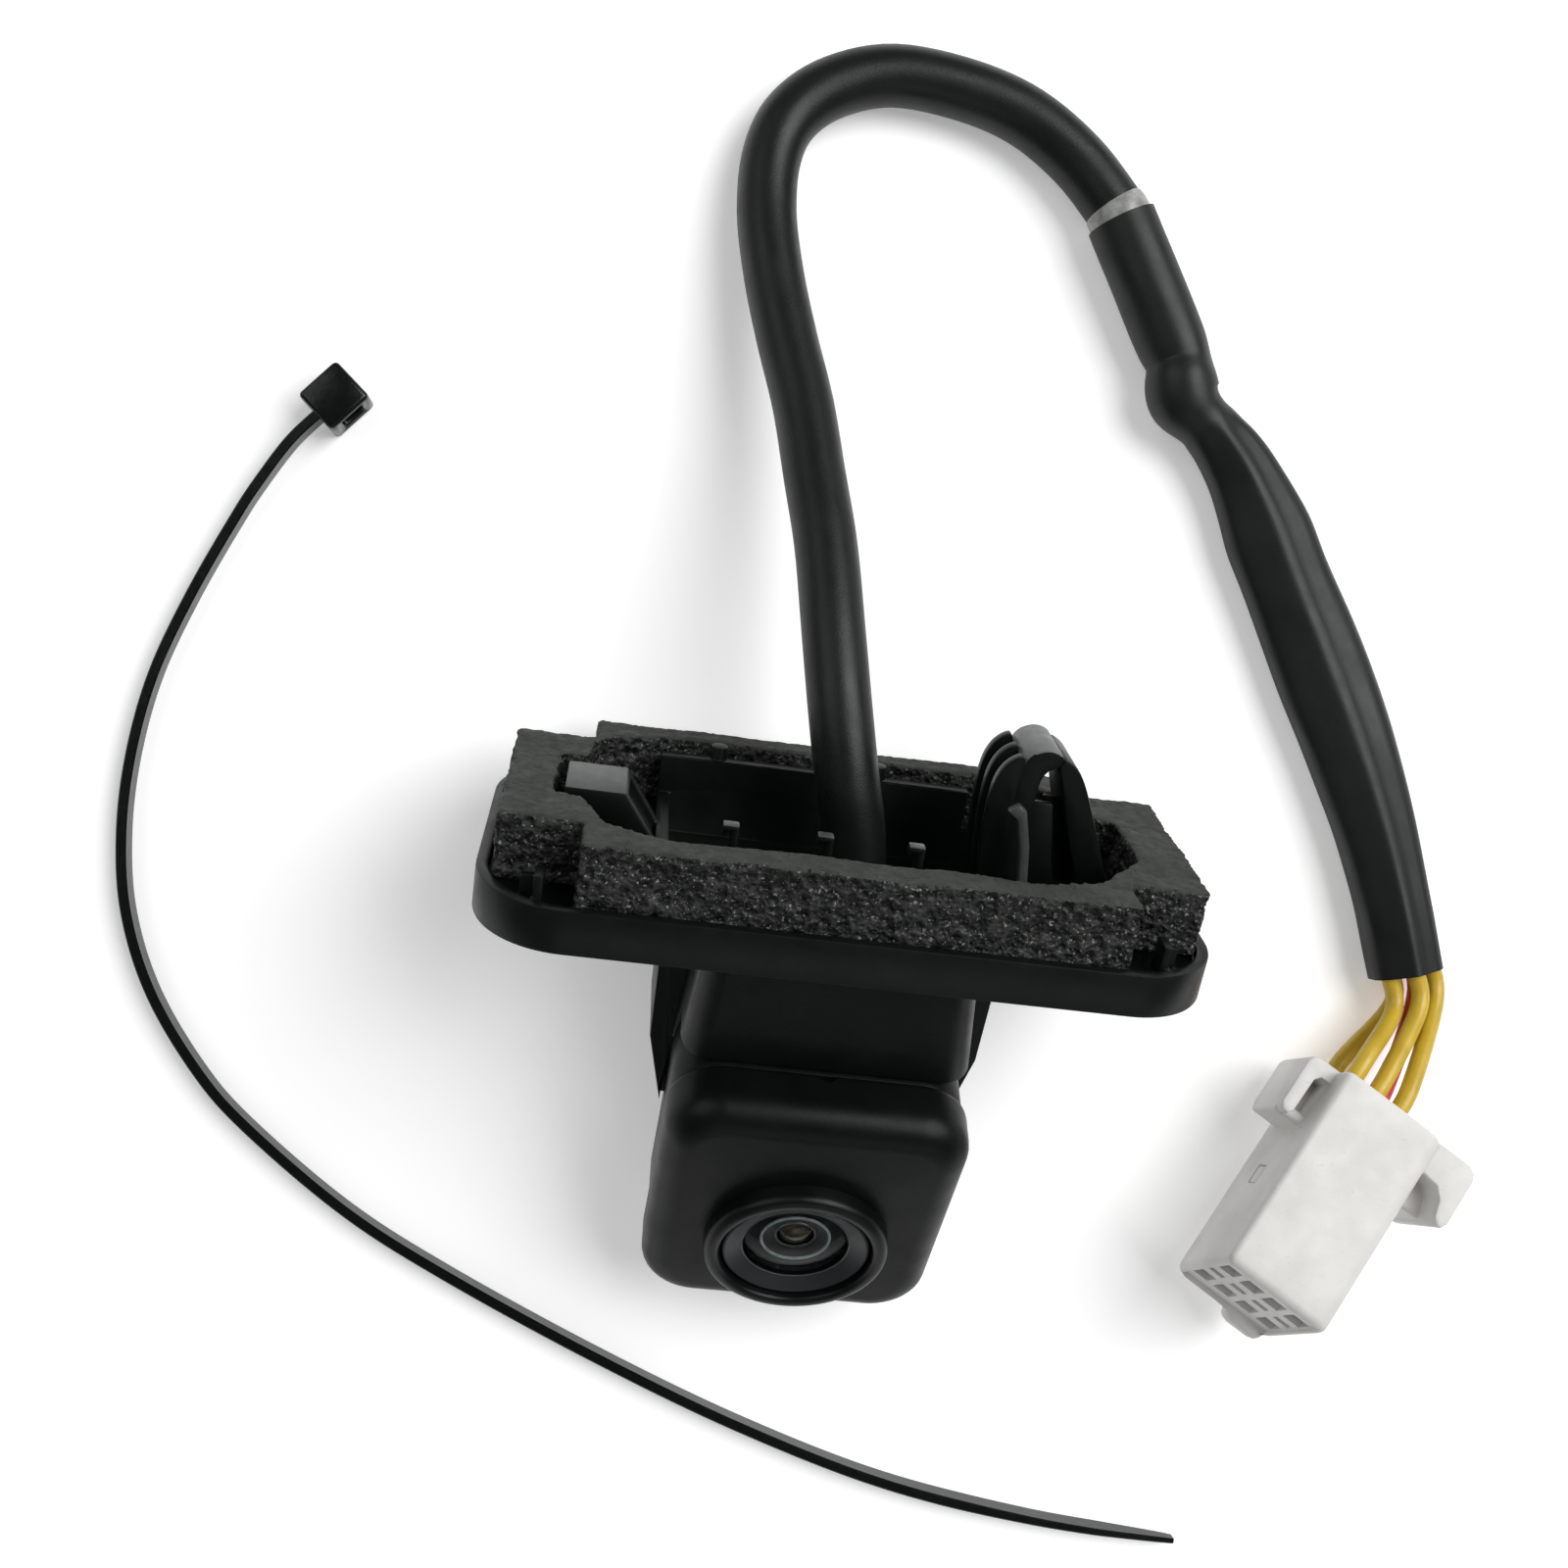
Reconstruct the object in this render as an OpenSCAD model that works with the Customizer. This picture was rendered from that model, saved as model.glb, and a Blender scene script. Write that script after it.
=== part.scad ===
// Reversing camera kit: a snap-in trim bezel with a foam gasket, a fisheye camera
// head hung under it, a jacketed cable with two shrink sleeves, coloured wires,
// a white multi-way connector and one loose cable tie. Millimetres, table at z = 0.

/* [Bezel] */
// Length of the bezel plate over its rim
bezel_l = 71.2; // [60:0.1:90]
// Width of the bezel plate over its rim
bezel_w = 35.5; // [28:0.1:45]
// Corner radius of the bezel plate
bezel_r = 9; // [4:0.5:14]
// Thickness of the flange the gasket is stuck to
flange_t = 2.2; // [1.5:0.1:4]
// Height of the rim above the flange
rim_up = 0.9; // [0:0.1:2]
// Height of the rim below the flange
rim_down = 1.4; // [0:0.1:3]
// Wall thickness of the rim
rim_t = 1.2; // [0.8:0.1:2]
// Wall thickness of the collar's rear wall
wall_t = 1.6; // [1:0.1:3]

/* [Gasket] */
// Thickness of the uncompressed foam gasket
foam_t = 7; // [3:0.1:12]
// Length of the gasket over its end lobes
foam_l = 68; // [55:0.5:85]
// Length of the gasket's wide middle
foam_mid_l = 52.2; // [40:0.2:70]
// Width of the gasket's end lobes
foam_end_w = 22.4; // [15:0.2:30]
// Width of the gasket's wide middle
foam_w = 33; // [25:0.2:42]

/* [Camera head] */
// Width of the camera head
head_w = 30; // [20:0.2:40]
// Height of the head's front above the lens axis
head_up = 18.5; // [12:0.5:25]
// Height of the head's front below the lens axis
head_down = 12.2; // [9:0.1:20]
// Depth of the front cover
cover_d = 6.4; // [4:0.1:10]
// Depth of the rear case behind the seam
case_d = 7.4; // [6:0.1:16]
// Corner radius of the head's front
head_r = 5.5; // [2:0.5:9]
// Angle between the lens axis and the plate's inward normal
lens_angle = 71.5; // [30:0.5:90]
// Radius of the lens ring
ring_r = 9.3; // [6:0.1:12]
// How far the lens ring stands out of the front cover
ring_out = 2; // [0.5:0.1:4]

/* [Cable] */
// Outside diameter of the jacketed cable
cable_d = 6.5; // [4:0.1:9]
// Outside diameter of one wire
wire_d = 2; // [1:0.1:3]

/* [Connector] */
// Width of the connector housing
plug_w = 12.9; // [8:0.2:24]
// Length of the connector housing
plug_l = 25.5; // [15:0.5:40]
// Height of the connector housing
plug_h = 14.2; // [7:0.2:18]
// Pitch of the terminals
pin_pitch = 2.9; // [1.5:0.1:4]

/* [Cable tie] */
// Width of the tie strap
strap_w = 2.5; // [1.8:0.1:5]
// Thickness of the tie strap
strap_t = 1.1; // [0.8:0.05:2]
// Size of the tie head along the strap
tie_head_l = 4.9; // [3:0.1:8]

/* [Hidden] */
$fn = 64;

black = [0.07, 0.08, 0.08];
charcoal = [0.13, 0.13, 0.13];
grey = [0.55, 0.56, 0.57];
yellow = [0.9, 0.7, 0.1];
off_white = [0.9, 0.89, 0.87];

// The kit lies on the table. The bezel stands on its rear long edge and the head
// on the lower edge of its back, so the plate's normal leans up by 90 - lean.
lean = 68.5;
heading = -7;
flange_top = -foam_t;
plate_low = flange_top - flange_t - rim_down;
rest_z = bezel_w/2*sin(lean) - plate_low*cos(lean);
kit_x = 13.365;
kit_y = 21.24;
camera_at = [kit_x + 4.5, kit_y - 2.1, rest_z];
lens_at = [0, -16, -42.5];

// Levels in the head's own frame: z = 0 is the front of the lens ring.
cover_front = -ring_out;
seam = cover_front - cover_d;
case_back = seam - case_d;
barrel_r = 7.2;
boss_x = 1.6;
boss_y = 0.5;
boss_top = -27;
grommet_top = -21;
board_t = 1;
main_board_z = case_back + 1.9;
sensor_board_z = -12.4;

module in_camera() {
  translate(camera_at) rotate([0, 0, heading]) rotate([-lean, 0, 0]) children();
}

module in_head() {
  in_camera() translate(lens_at) rotate([180 - lens_angle, 0, 0]) children();
}

module slab(l, w, r, h) {
  linear_extrude(h) {
    square([l - 2*r, w], center = true);
    square([l, w - 2*r], center = true);
    for (x = [-1, 1])
      for (y = [-1, 1])
        translate([x*(l/2 - r), y*(w/2 - r)]) circle(r);
  }
}

// A prism along the plate's width from a profile drawn in length and height.
module across(y0, y1, points) {
  translate([0, y1, 0]) rotate([90, 0, 0]) linear_extrude(y1 - y0) polygon(points);
}

// The head's outline in its own frame, drawn in by `inset` and `h` thick.
module head_slab(inset, h) {
  translate([0, (head_up - head_down)/2, 0])
    slab(head_w - 2*inset, head_up + head_down - 2*inset, max(head_r - inset, 0.6), h);
}

// ---- Trim bezel -----------------------------------------------------------

hook_w = 7;
hook_profile = [
  [-28.3, 0], [-22.4, 0], [-17.2, -7.4], [-17.2, -10.8], [-19, -10.8], [-19, -8.4],
  [-20.8, -6.8], [-25.2, -2.9], [-28.3, -2.2]
];
hook_recess = [[-22.6, -1.2], [-20.4, 1], [-15, -6.6], [-15, -9.2], [-18.4, -9.2], [-18.4, -6.9]];
clip_y0 = -4;
clip_y1 = 3.6;
clip_profile = [
  [15, -9.8], [14.9, 7], [15.3, 8.5], [16.3, 9.6], [17.9, 9.9], [19, 9.3],
  [18.5, 8], [17.8, 7.9], [17.1, 7.1], [17, -9.8]
];
leg_profile = [
  [19.3, 9.1], [20.9, 7.9], [22, 6], [23.7, 2.2], [25.3, -1.4], [26.2, -3.6],
  [25.8, -4.6], [23.8, -5.6], [23.1, -5.2], [22.8, -3], [21.6, 0], [19.8, 5.2],
  [18.8, 7.9]
];

posts = [for (x = [-9.8, 9.8], y = [-6.8, 13.3]) [x, y]];
bracket_x = 11;
bracket_y = 8;

module hood_outside() {
  hull() {
    translate([0, -7.5, -10]) slab(26.4, 12, 3, 1);
    translate([0, -7.5, -25.5]) slab(head_w - 0.6, 12, 3, 1);
  }
  across(-4, 7.8, [
    [-17.2, -9], [17.6, -9], [17, -25], [14.6, -33.6], [-15, -33.6], [-16.9, -26]
  ]);
}

module well() {
  translate([-12.4, -11.6, -18.8]) cube([24.8, 9, 30]);
  translate([-12.4, -4, -13]) cube([24.8, 10.2, 20]);
  translate([boss_x - 6.8, -4, -34]) cube([13.6, 10.2, 40]);
  translate([-17.6, -10.6, -9.6]) cube([35.2, 21.4, 20]);
}

module head_pocket() {
  translate(lens_at) rotate([180 - lens_angle, 0, 0]) {
    translate([-20, -30, seam]) cube([40, 60, 30]);
    translate([0, 0, case_back - 0.15]) {
      translate([-head_w/2, -20, 0]) cube([head_w, 20 + head_up - 0.2, case_d + 0.3]);
    }
  }
}

// An L-shaped rib that locates one notched corner of the gasket.
module corner_rib(x, y) {
  translate([x - 0.45, y < 0 ? y - 2.6 : y, flange_top - 0.4]) cube([0.9, 2.6, 3.6]);
  translate([x < 0 ? x - 1.8 : x, y - 0.45, flange_top - 0.4]) cube([1.8, 0.9, 2.6]);
}

// A thin post with a hooked top that keeps the cable off the hood's front wall.
module guide_post(x) {
  translate([x - 0.4, -9.7, -19.2]) cube([0.8, 1.4, 19.8]);
  translate([x - 1.2, -9.7, 0]) cube([1.6, 1.4, 0.6]);
  translate([x - 1.2, -9.7, -0.5]) cube([0.4, 1.4, 0.7]);
}

module bezel_plate() {
  color(black) in_camera() {
    difference() {
      union() {
        translate([0, 0, flange_top - flange_t]) slab(bezel_l, bezel_w, bezel_r, flange_t);
        difference() {
          translate([0, 0, plate_low])
            slab(bezel_l, bezel_w, bezel_r, flange_t + rim_down + rim_up);
          translate([0, 0, plate_low - 1])
            slab(bezel_l - 2*rim_t, bezel_w - 2*rim_t, bezel_r - rim_t, 10);
        }
        translate([-19, -11.8, -11]) cube([38, 24.2, 11 + flange_top + 1.8]);
        translate([-19, 10.8, flange_top - 1]) cube([33, wall_t, 6.9]);
        hood_outside();
      }
      well();
      head_pocket();
      bracket_holes();
    }
    for (x = [-13, 4])
      translate([x, 11.8, -2]) cylinder(r = 0.9, h = 2.4);
    for (x = [-12, -3, 5.8]) guide_post(x);
    for (x = [-29.4, 29.4], y = [-13.4, 13.4]) corner_rib(x, y);
    left_hook();
    clip_stem();
  }
}

module left_hook() {
  difference() {
    across(-hook_w/2, hook_w/2, hook_profile);
    across(-hook_w/2 + 1.3, hook_w/2 - 1.3, hook_recess);
  }
}

module clip_stem() {
  across(clip_y0, clip_y1, clip_profile);
  translate([13, clip_y0, -10]) cube([4.4, clip_y1 - clip_y0, 1.6]);
  for (y = [clip_y0, -0.8, clip_y1 - 1.2])
    across(y, y + 1.2, [
      [15, -6], [13.2, -4.6], [12.5, 3], [12.7, 5.8], [13.6, 8], [15, 8.8], [15.2, 8]
    ]);
  across(-7.4, -6.2, [
    [13.8, 4.4], [14.8, 5.2], [15.6, 4.6], [16.6, 1], [17.2, -3], [16.8, -9.4],
    [15.9, -9.4], [16.3, -3], [15.7, 0.8], [14.9, 3.6]
  ]);
  translate([14.6, -7.4, -10]) cube([2.8, 3.6, 1.4]);
}

module bracket_holes() {
  translate(lens_at) rotate([180 - lens_angle, 0, 0])
    for (x = [-bracket_x, bracket_x]) {
      translate([x, bracket_y, case_back - 16]) cylinder(r = 0.95, h = 18);
      translate([x, bracket_y, case_back - 18]) cylinder(r = 1.9, h = 15.4);
    }
}

module snap_leg() {
  color(black) in_camera() across(clip_y0, clip_y1, leg_profile);
}

module foam_gasket() {
  color(charcoal) in_camera() translate([0, 0, flange_top]) linear_extrude(foam_t)
    difference() {
      union() {
        square([foam_l, foam_end_w], center = true);
        square([foam_mid_l, foam_w], center = true);
      }
      polygon([
        [-29.2, 5.2], [-26.2, 5.8], [-26, 9.2], [-24.4, 11.9], [-16.5, 13.5], [16, 13.5],
        [21.6, 12], [24.4, 9.4], [26, 5], [28.2, 4.6], [28.2, -5.2], [25, -8.8],
        [22.8, -11.4], [17.2, -12.8], [-18, -12.6], [-24, -10.6], [-26.4, -5], [-29.2, -4.6]
      ]);
    }
}

// ---- Camera head ----------------------------------------------------------

module front_cover() {
  color(black) in_head() difference() {
    hull() {
      translate([0, 0, seam]) head_slab(0.2, 1);
      translate([0, 0, seam + 0.8]) head_slab(0, cover_d - 3.8);
      translate([0, 0, cover_front - 1.6]) head_slab(0.6, 0.2);
      translate([0, 0, cover_front - 0.6]) head_slab(1.6, 0.2);
      translate([0, 0, cover_front - 0.1]) head_slab(3, 0.1);
    }
    translate([0, 0, seam - 1]) head_slab(1.9, cover_d - 0.9);
    translate([0, 0, -12]) cylinder(r = barrel_r + 0.1, h = 14);
    translate([0, head_up + 0.1, seam]) sphere(r = 1, $fn = 32);
  }
  color(black) in_head() for (p = posts) translate([p[0], p[1], seam])
    difference() {
      translate([0, 0, 0.2]) cylinder(r = 1.9, h = cover_d - 1.9);
      cylinder(r = 0.8, h = 3.6);
    }
}

module rear_case() {
  color(black) {
    in_head() difference() {
      union() {
        difference() {
          translate([0, 0, case_back]) head_slab(0.4, case_d);
          translate([0, 0, case_back + 1.8]) head_slab(1.9, case_d);
        }
        for (p = posts)
          translate([p[0], p[1], case_back + 1]) cylinder(r = 2.1, h = case_d - 1);
      }
      for (p = posts) translate([p[0], p[1], case_back - 1]) {
        cylinder(r = 0.9, h = case_d + 2);
        cylinder(r = 1.7, h = 2.3);
      }
      for (x = [-bracket_x, bracket_x])
        translate([x, bracket_y, case_back - 1]) cylinder(r = 0.85, h = 4);
    }
    in_camera() difference() {
      translate([boss_x, boss_y, -37]) cylinder(r = 5.2, h = 37 + boss_top);
      translate([boss_x, boss_y, -33]) cylinder(r = 3.2, h = 10);
      translate(lens_at) rotate([180 - lens_angle, 0, 0])
        translate([-10, -20, case_back + 0.9]) cube([20, 40, 20]);
    }
  }
}

module case_seal() {
  color([0.25, 0.1, 0.08]) in_head() translate([0, 0, seam - 0.9]) difference() {
    head_slab(1.95, 1.1);
    translate([0, 0, -1]) head_slab(2.9, 4);
  }
}

module screw(r, head_r, l) {
  difference() {
    union() {
      cylinder(r = head_r, h = 1);
      cylinder(r = r, h = l);
    }
    translate([0, 0, -0.1]) {
      translate([-head_r*0.7, -0.2, 0]) cube([head_r*1.4, 0.4, 0.6]);
      translate([-0.2, -head_r*0.7, 0]) cube([0.4, head_r*1.4, 0.6]);
    }
  }
}

module case_screws() {
  color(grey) in_head() for (p = posts)
    translate([p[0], p[1], case_back + 0.2]) screw(0.75, 1.5, case_d + 3);
}

module bracket_screws() {
  color(grey) in_head() for (x = [-bracket_x, bracket_x])
    translate([x, bracket_y, case_back - 3.7]) screw(0.8, 1.6, 5.2);
}

module lens_barrel() {
  color(black) in_head() rotate_extrude() polygon([
    [7.5, 0], [8.9, 0], [ring_r, -0.4], [ring_r, cover_front], [barrel_r, cover_front],
    [barrel_r, -2.5], [6.6, -2.5], [6.6, -3.7], [barrel_r, -3.7], [barrel_r, -7.6],
    [4.6, -7.6], [4.6, -10.4], [2.6, -10.4], [2.6, -8.2], [3.4, -8.2], [3.4, -4.4],
    [4.6, -4.4], [4.6, -2.9], [5.5, -2.9], [5.5, -1.3], [7.3, -0.7]
  ]);
}

module front_lens() {
  color([0.2, 0.25, 0.3]) in_head() rotate_extrude() polygon(concat(
    [for (a = [0:4:24]) [12*sin(a), -12 + 12*cos(a)]],
    [[5.3, -1.3], [5.3, -2.8], [3.7, -2.8]],
    [for (a = [60:-15:0]) [4*sin(a), -5 + 4*cos(a)]]
  ));
}

module lens_spacer() {
  color(black) in_head() translate([0, 0, -4.4]) difference() {
    cylinder(r = 4.5, h = 1.5);
    translate([0, 0, -1]) cylinder(r = 3.7, h = 4);
  }
}

module middle_lens() {
  color([0.2, 0.25, 0.3]) in_head() translate([0, 0, -5.9]) intersection() {
    cylinder(r = 3.3, h = 1.5);
    translate([0, 0, -5.1]) sphere(r = 6.2);
  }
}

module rear_lens() {
  color([0.2, 0.25, 0.3]) in_head() translate([0, 0, -8.1]) intersection() {
    cylinder(r = 3.3, h = 1.6);
    translate([0, 0, -4.6]) sphere(r = 6.2);
  }
}

module filter_glass() {
  color([0.3, 0.45, 0.5]) in_head() translate([0, 0, -9.3]) cylinder(r = 2.55, h = 0.5);
}

module barrel_seal() {
  color([0.25, 0.1, 0.08]) in_head() translate([0, 0, -3.1])
    rotate_extrude() translate([6.94, 0]) circle(0.32, $fn = 24);
}

module image_sensor() {
  color(grey) in_head() translate([-3, -3, sensor_board_z + board_t]) cube([6, 6, 0.8]);
}

module board(z) {
  difference() {
    union() {
      translate([-7.4, -8.6, z]) cube([14.8, 23.8, board_t]);
      translate([-11.6, -4.5, z]) cube([23.2, 15.4, board_t]);
    }
    for (x = [-6, 6]) translate([x, 11, z - 1]) cylinder(r = 0.7, h = 4);
  }
}

module sensor_board() {
  color([0.1, 0.3, 0.15]) in_head() board(sensor_board_z);
}

module main_board() {
  color([0.1, 0.3, 0.15]) in_head() intersection() {
    board(main_board_z);
    translate([-12, -12, -20]) cube([24, 22, 20]);
  }
}

module board_link() {
  color(off_white) in_head() translate([-4.5, -7.6, main_board_z + board_t])
    cube([9, 2.2, sensor_board_z - main_board_z - board_t]);
}

module board_parts() {
  color(charcoal) in_head() {
    for (p = [[-8, 4, 3.6, 3.6], [6, 5, 2.4, 2.2], [7, -3, 1.8, 3], [-7.4, -3, 2, 1.2]])
      translate([p[0], p[1], sensor_board_z + board_t]) cube([p[2], p[3], 0.8]);
  }
}

module cable_grommet() {
  color(charcoal) in_camera() translate([boss_x, boss_y, 0]) {
    translate([0, 0, boss_top]) cylinder(r = 4.9, h = 1.8);
    translate([0, 0, boss_top + 1.8])
      cylinder(r1 = 4.6, r2 = cable_d/2 + 0.5, h = grommet_top - boss_top - 1.8);
    translate([0, 0, -32.4]) cylinder(r = 3.1, h = 32.4 + boss_top);
  }
}

// ---- Cable, sleeves and wires ---------------------------------------------

function unit(v) = v/norm(v);

// A point on a smooth curve through the route points, u from 0 to len - 1.
function curve(p, u) =
  let (
    n = len(p) - 1,
    i = min(floor(u), n - 1),
    t = u - i,
    a = p[max(i - 1, 0)],
    b = p[i],
    c = p[i + 1],
    d = p[min(i + 2, n)]
  )
  0.5*(2*b + (c - a)*t + (2*a - 5*b + 4*c - d)*t*t + (3*b - a - 3*c + d)*t*t*t);

function curve_points(p, per) =
  [for (i = [0:(len(p) - 1)*per]) curve(p, i/per)];

function tangent(p, i) = unit(p[min(i + 1, len(p) - 1)] - p[max(i - 1, 0)]);

// One ring of a sweep: w wide level with the table, h high.
function ring(c, t, w, h, sides) =
  let (s = unit(cross(t, [0, 0, 1])), v = cross(s, t))
  [for (k = [0:sides - 1]) c + s*w/2*cos(360*k/sides) + v*h/2*sin(360*k/sides)];

module sweep(points, widths, heights, sides) {
  n = len(points);
  last = n - 1;
  rings = [for (i = [0:last]) each
    ring(points[i], tangent(points, i), widths[i], heights[i], sides)];
  sides_f = [for (i = [0:n - 2], k = [0:sides - 1])
    let (a = i*sides + k, b = i*sides + (k + 1)%sides)
    [a, b, b + sides, a + sides]];
  start = [for (k = [sides - 1:-1:0]) k];
  finish = [for (k = [0:sides - 1]) last*sides + k];
  polyhedron(rings, concat(sides_f, [start, finish]), convexity = 8);
}

module rod(points, d, sides) {
  sweep(points, [for (p = points) d], [for (p = points) d], sides);
}

function spin(v, z) = [v[0]*cos(z) - v[1]*sin(z), v[0]*sin(z) + v[1]*cos(z), v[2]];

function tip(v, x) = [v[0], v[1]*cos(x) - v[2]*sin(x), v[1]*sin(x) + v[2]*cos(x)];

// Kit coordinates of a point given in the camera's own frame.
function camera_point(v) = camera_at + spin(tip(v, -lean), heading);

cable_route = concat(
  [for (z = [grommet_top - 2.4, -15, -9]) camera_point([boss_x, boss_y, z])],
  [for (p = [
    [5, -4.7, 18.2], [4.2, 0.5, 19.5], [3.5, 7, 19.8], [3, 15, 18.4], [2.6, 24.4, 15.4],
    [1.8, 32, 12.6], [0.9, 40, 9.9], [-0.6, 47.6, 7.7], [-1.8, 54.8, 5.9], [-2.4, 62, 4.4],
    [-1.7, 68.4, 3.6], [0.6, 72.9, 3.3], [5.2, 76.1, 3.25], [11.8, 77.6, 3.25],
    [20, 76.3, 3.25], [26.7, 73.6, 3.3], [32.4, 69, 3.5], [36.4, 63.9, 3.8]
  ]) p + [kit_x, kit_y, 0]]
);
upper_route = [for (p = [
  [37.2, 62.5, 3.9], [40.4, 55, 3.9], [43, 49, 3.9], [43.8, 47, 3.9], [44, 44.8, 4.1],
  [44.5, 42.6, 4.2], [46, 41, 4]
]) p + [kit_x, kit_y, 0]];
upper_w = [7.6, 7.7, 7.7, 7.1, 7.9, 8, 6];
upper_h = [7.6, 7.7, 7.7, 7.3, 8, 7.6, 6];
lower_route = [for (p = [
  [46, 41, 4], [47.8, 39.4, 3.9], [51, 35.6, 3.6], [54, 29.4, 3.5], [56.6, 23, 3.5],
  [61.4, 11.6, 3.5], [65, 2, 3.6], [67.5, -6.4, 3.7], [69.3, -14, 3.9], [70.8, -21.6, 4]
]) p + [kit_x, kit_y, 0]];
lower_w = [6, 6.2, 8, 9.4, 9.9, 10.6, 9.9, 8.8, 8.2, 8];
lower_h = [6, 6, 6.4, 6.6, 6.6, 6.6, 6.8, 7, 7.2, 7.2];

module camera_cable() {
  color(black) rod(cable_route, cable_d, 12);
}

module tape_edge() {
  route = [cable_route[len(cable_route) - 1], upper_route[0]];
  color(off_white) rod(route, cable_d + 0.5, 24);
}

module upper_sleeve() {
  color(charcoal) sweep(upper_route, upper_w, upper_h, 16);
}

module lower_sleeve() {
  color(charcoal) sweep(lower_route, lower_w, lower_h, 16);
}

// The connector lies on its back corner and its lock's foot, nose up and rolled a little.
plug_nose_up = 10;
plug_roll = 8;
plug_turn = 141;
plug_at = [kit_x + 64.7, kit_y - 37.6, plug_w/2*sin(plug_roll)*cos(plug_nose_up)];

function roll(v, y) = [v[0]*cos(y) + v[2]*sin(y), v[1], v[2]*cos(y) - v[0]*sin(y)];

function plug_point(v) = plug_at + spin(tip(roll(v, plug_roll), plug_nose_up), plug_turn);

module in_plug() {
  translate(plug_at) rotate([0, 0, plug_turn]) rotate([plug_nose_up, 0, 0])
    rotate([0, plug_roll, 0]) children();
}

// Terminal ways: two rows of four, each [across, up].
ways = [for (z = [4, 10.2], i = [-1.5:1.5]) [i*pin_pitch, z]];
mouth = lower_route[len(lower_route) - 1];
mouth_dir = unit(mouth - lower_route[len(lower_route) - 2]);
mouth_side = unit(cross(mouth_dir, [0, 0, 1]));

// Each wire: where it leaves the sleeve's mouth, [across, up], and the way it enters.
wire_ends = [
  [[2.6, 0.9], 7], [[0.1, 2], 6], [[-2.5, 0.6], 5], [[1.4, -1.8], 3], [[-1.4, -1.9], 1]
];

module wire(i) {
  o = wire_ends[i][0];
  w = ways[wire_ends[i][1]];
  from = mouth + mouth_side*o[0] + [0, 0, o[1]];
  path = [
    from - mouth_dir*2,
    from + mouth_dir*3.4,
    plug_point([w[0], -3.6, w[1]]),
    plug_point([w[0], 0.9, w[1]])
  ];
  rod(curve_points(path, 2), wire_d, 8);
}

module wire_1() { color(yellow) wire(0); }
module wire_2() { color(yellow) wire(1); }
module wire_3() { color(yellow) wire(2); }
module wire_4() { color(yellow) wire(3); }
module wire_red() { color([0.75, 0.12, 0.1]) wire(4); }

// ---- Connector -------------------------------------------------------------

lock_y = 10.4;
slot_y = 12.6;

module plug_housing() {
  color(off_white) in_plug() {
    difference() {
      union() {
        translate([-plug_w/2, 0, 0]) cube([plug_w, plug_l, plug_h]);
        translate([-plug_w/2 - 4, 0.4, 3]) cube([plug_w + 6.2, 2, 6.4]);
        for (x = [-plug_w/2 - 5, plug_w/2 + 1])
          translate([x, 0.4, 3]) cube([2, 7.2, 6.4]);
        for (x = [-3.6, 2.8])
          translate([x, lock_y - 1, -1.8]) cube([0.8, 3.4, 2]);
      }
      translate([-plug_w/2 + 1, plug_l - 2.6, 1]) cube([plug_w - 2, 4, plug_h - 2]);
      for (p = ways) {
        translate([p[0] - 1.05, 3, p[1] - 1.4]) cube([2.1, plug_l, 2.8]);
        translate([p[0], 4, p[1]]) rotate([90, 0, 0]) cylinder(r = 1.25, h = 6);
      }
      translate([-plug_w, slot_y, 6.05]) cube([2*plug_w, 2.4, 2.1]);
    }
  }
}

module plug_retainer() {
  color(off_white) in_plug()
    translate([-plug_w/2 - 0.8, slot_y + 0.1, 6.15]) cube([plug_w + 0.5, 2.2, 1.9]);
}

module plug_lock() {
  color(off_white) in_plug() {
    translate([-2.6, lock_y, -2.2]) cube([5.2, 13.6, 1.1]);
    translate([-2.6, 21.8, -4.4]) cube([5.2, 1.8, 3]);
  }
}

module plug_terminals() {
  color([0.8, 0.7, 0.4]) in_plug() for (e = wire_ends) {
    w = ways[e[1]];
    translate([w[0] - 0.85, 3.1, w[1] - 1.1]) cube([1.7, 8, 2.2]);
    translate([w[0] - 0.35, 11, w[1] - 0.35]) cube([0.7, 10.6, 0.7]);
    translate([w[0], 3.2, w[1]]) rotate([90, 0, 0]) cylinder(r = 1.1, h = 2.2);
  }
}

// ---- Cable tie -------------------------------------------------------------

tie_route = [for (p = [
  [-49.7, 39.5], [-52.9, 36.5], [-56, 32.5], [-58.8, 28.3], [-63.5, 19.9], [-67.3, 11.6],
  [-69.6, 3.2], [-70.6, -5.1], [-70.2, -13.4], [-67.8, -21.8], [-63.3, -30],
  [-58.2, -36.3], [-48, -45.6], [-37.6, -52.8], [-21.8, -62.2], [-5.6, -70.8],
  [10.9, -78], [27.8, -83], [44.4, -86.4]
]) [p[0] + kit_x, p[1] + kit_y, 0]];
tie_head_h = 5;
slot_h = strap_w + 0.4;

module in_tie_head() {
  d = tie_route[0] - tie_route[1];
  translate([tie_route[0][0], tie_route[0][1], 0])
    rotate([0, 0, atan2(d[1], d[0])]) children();
}

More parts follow.
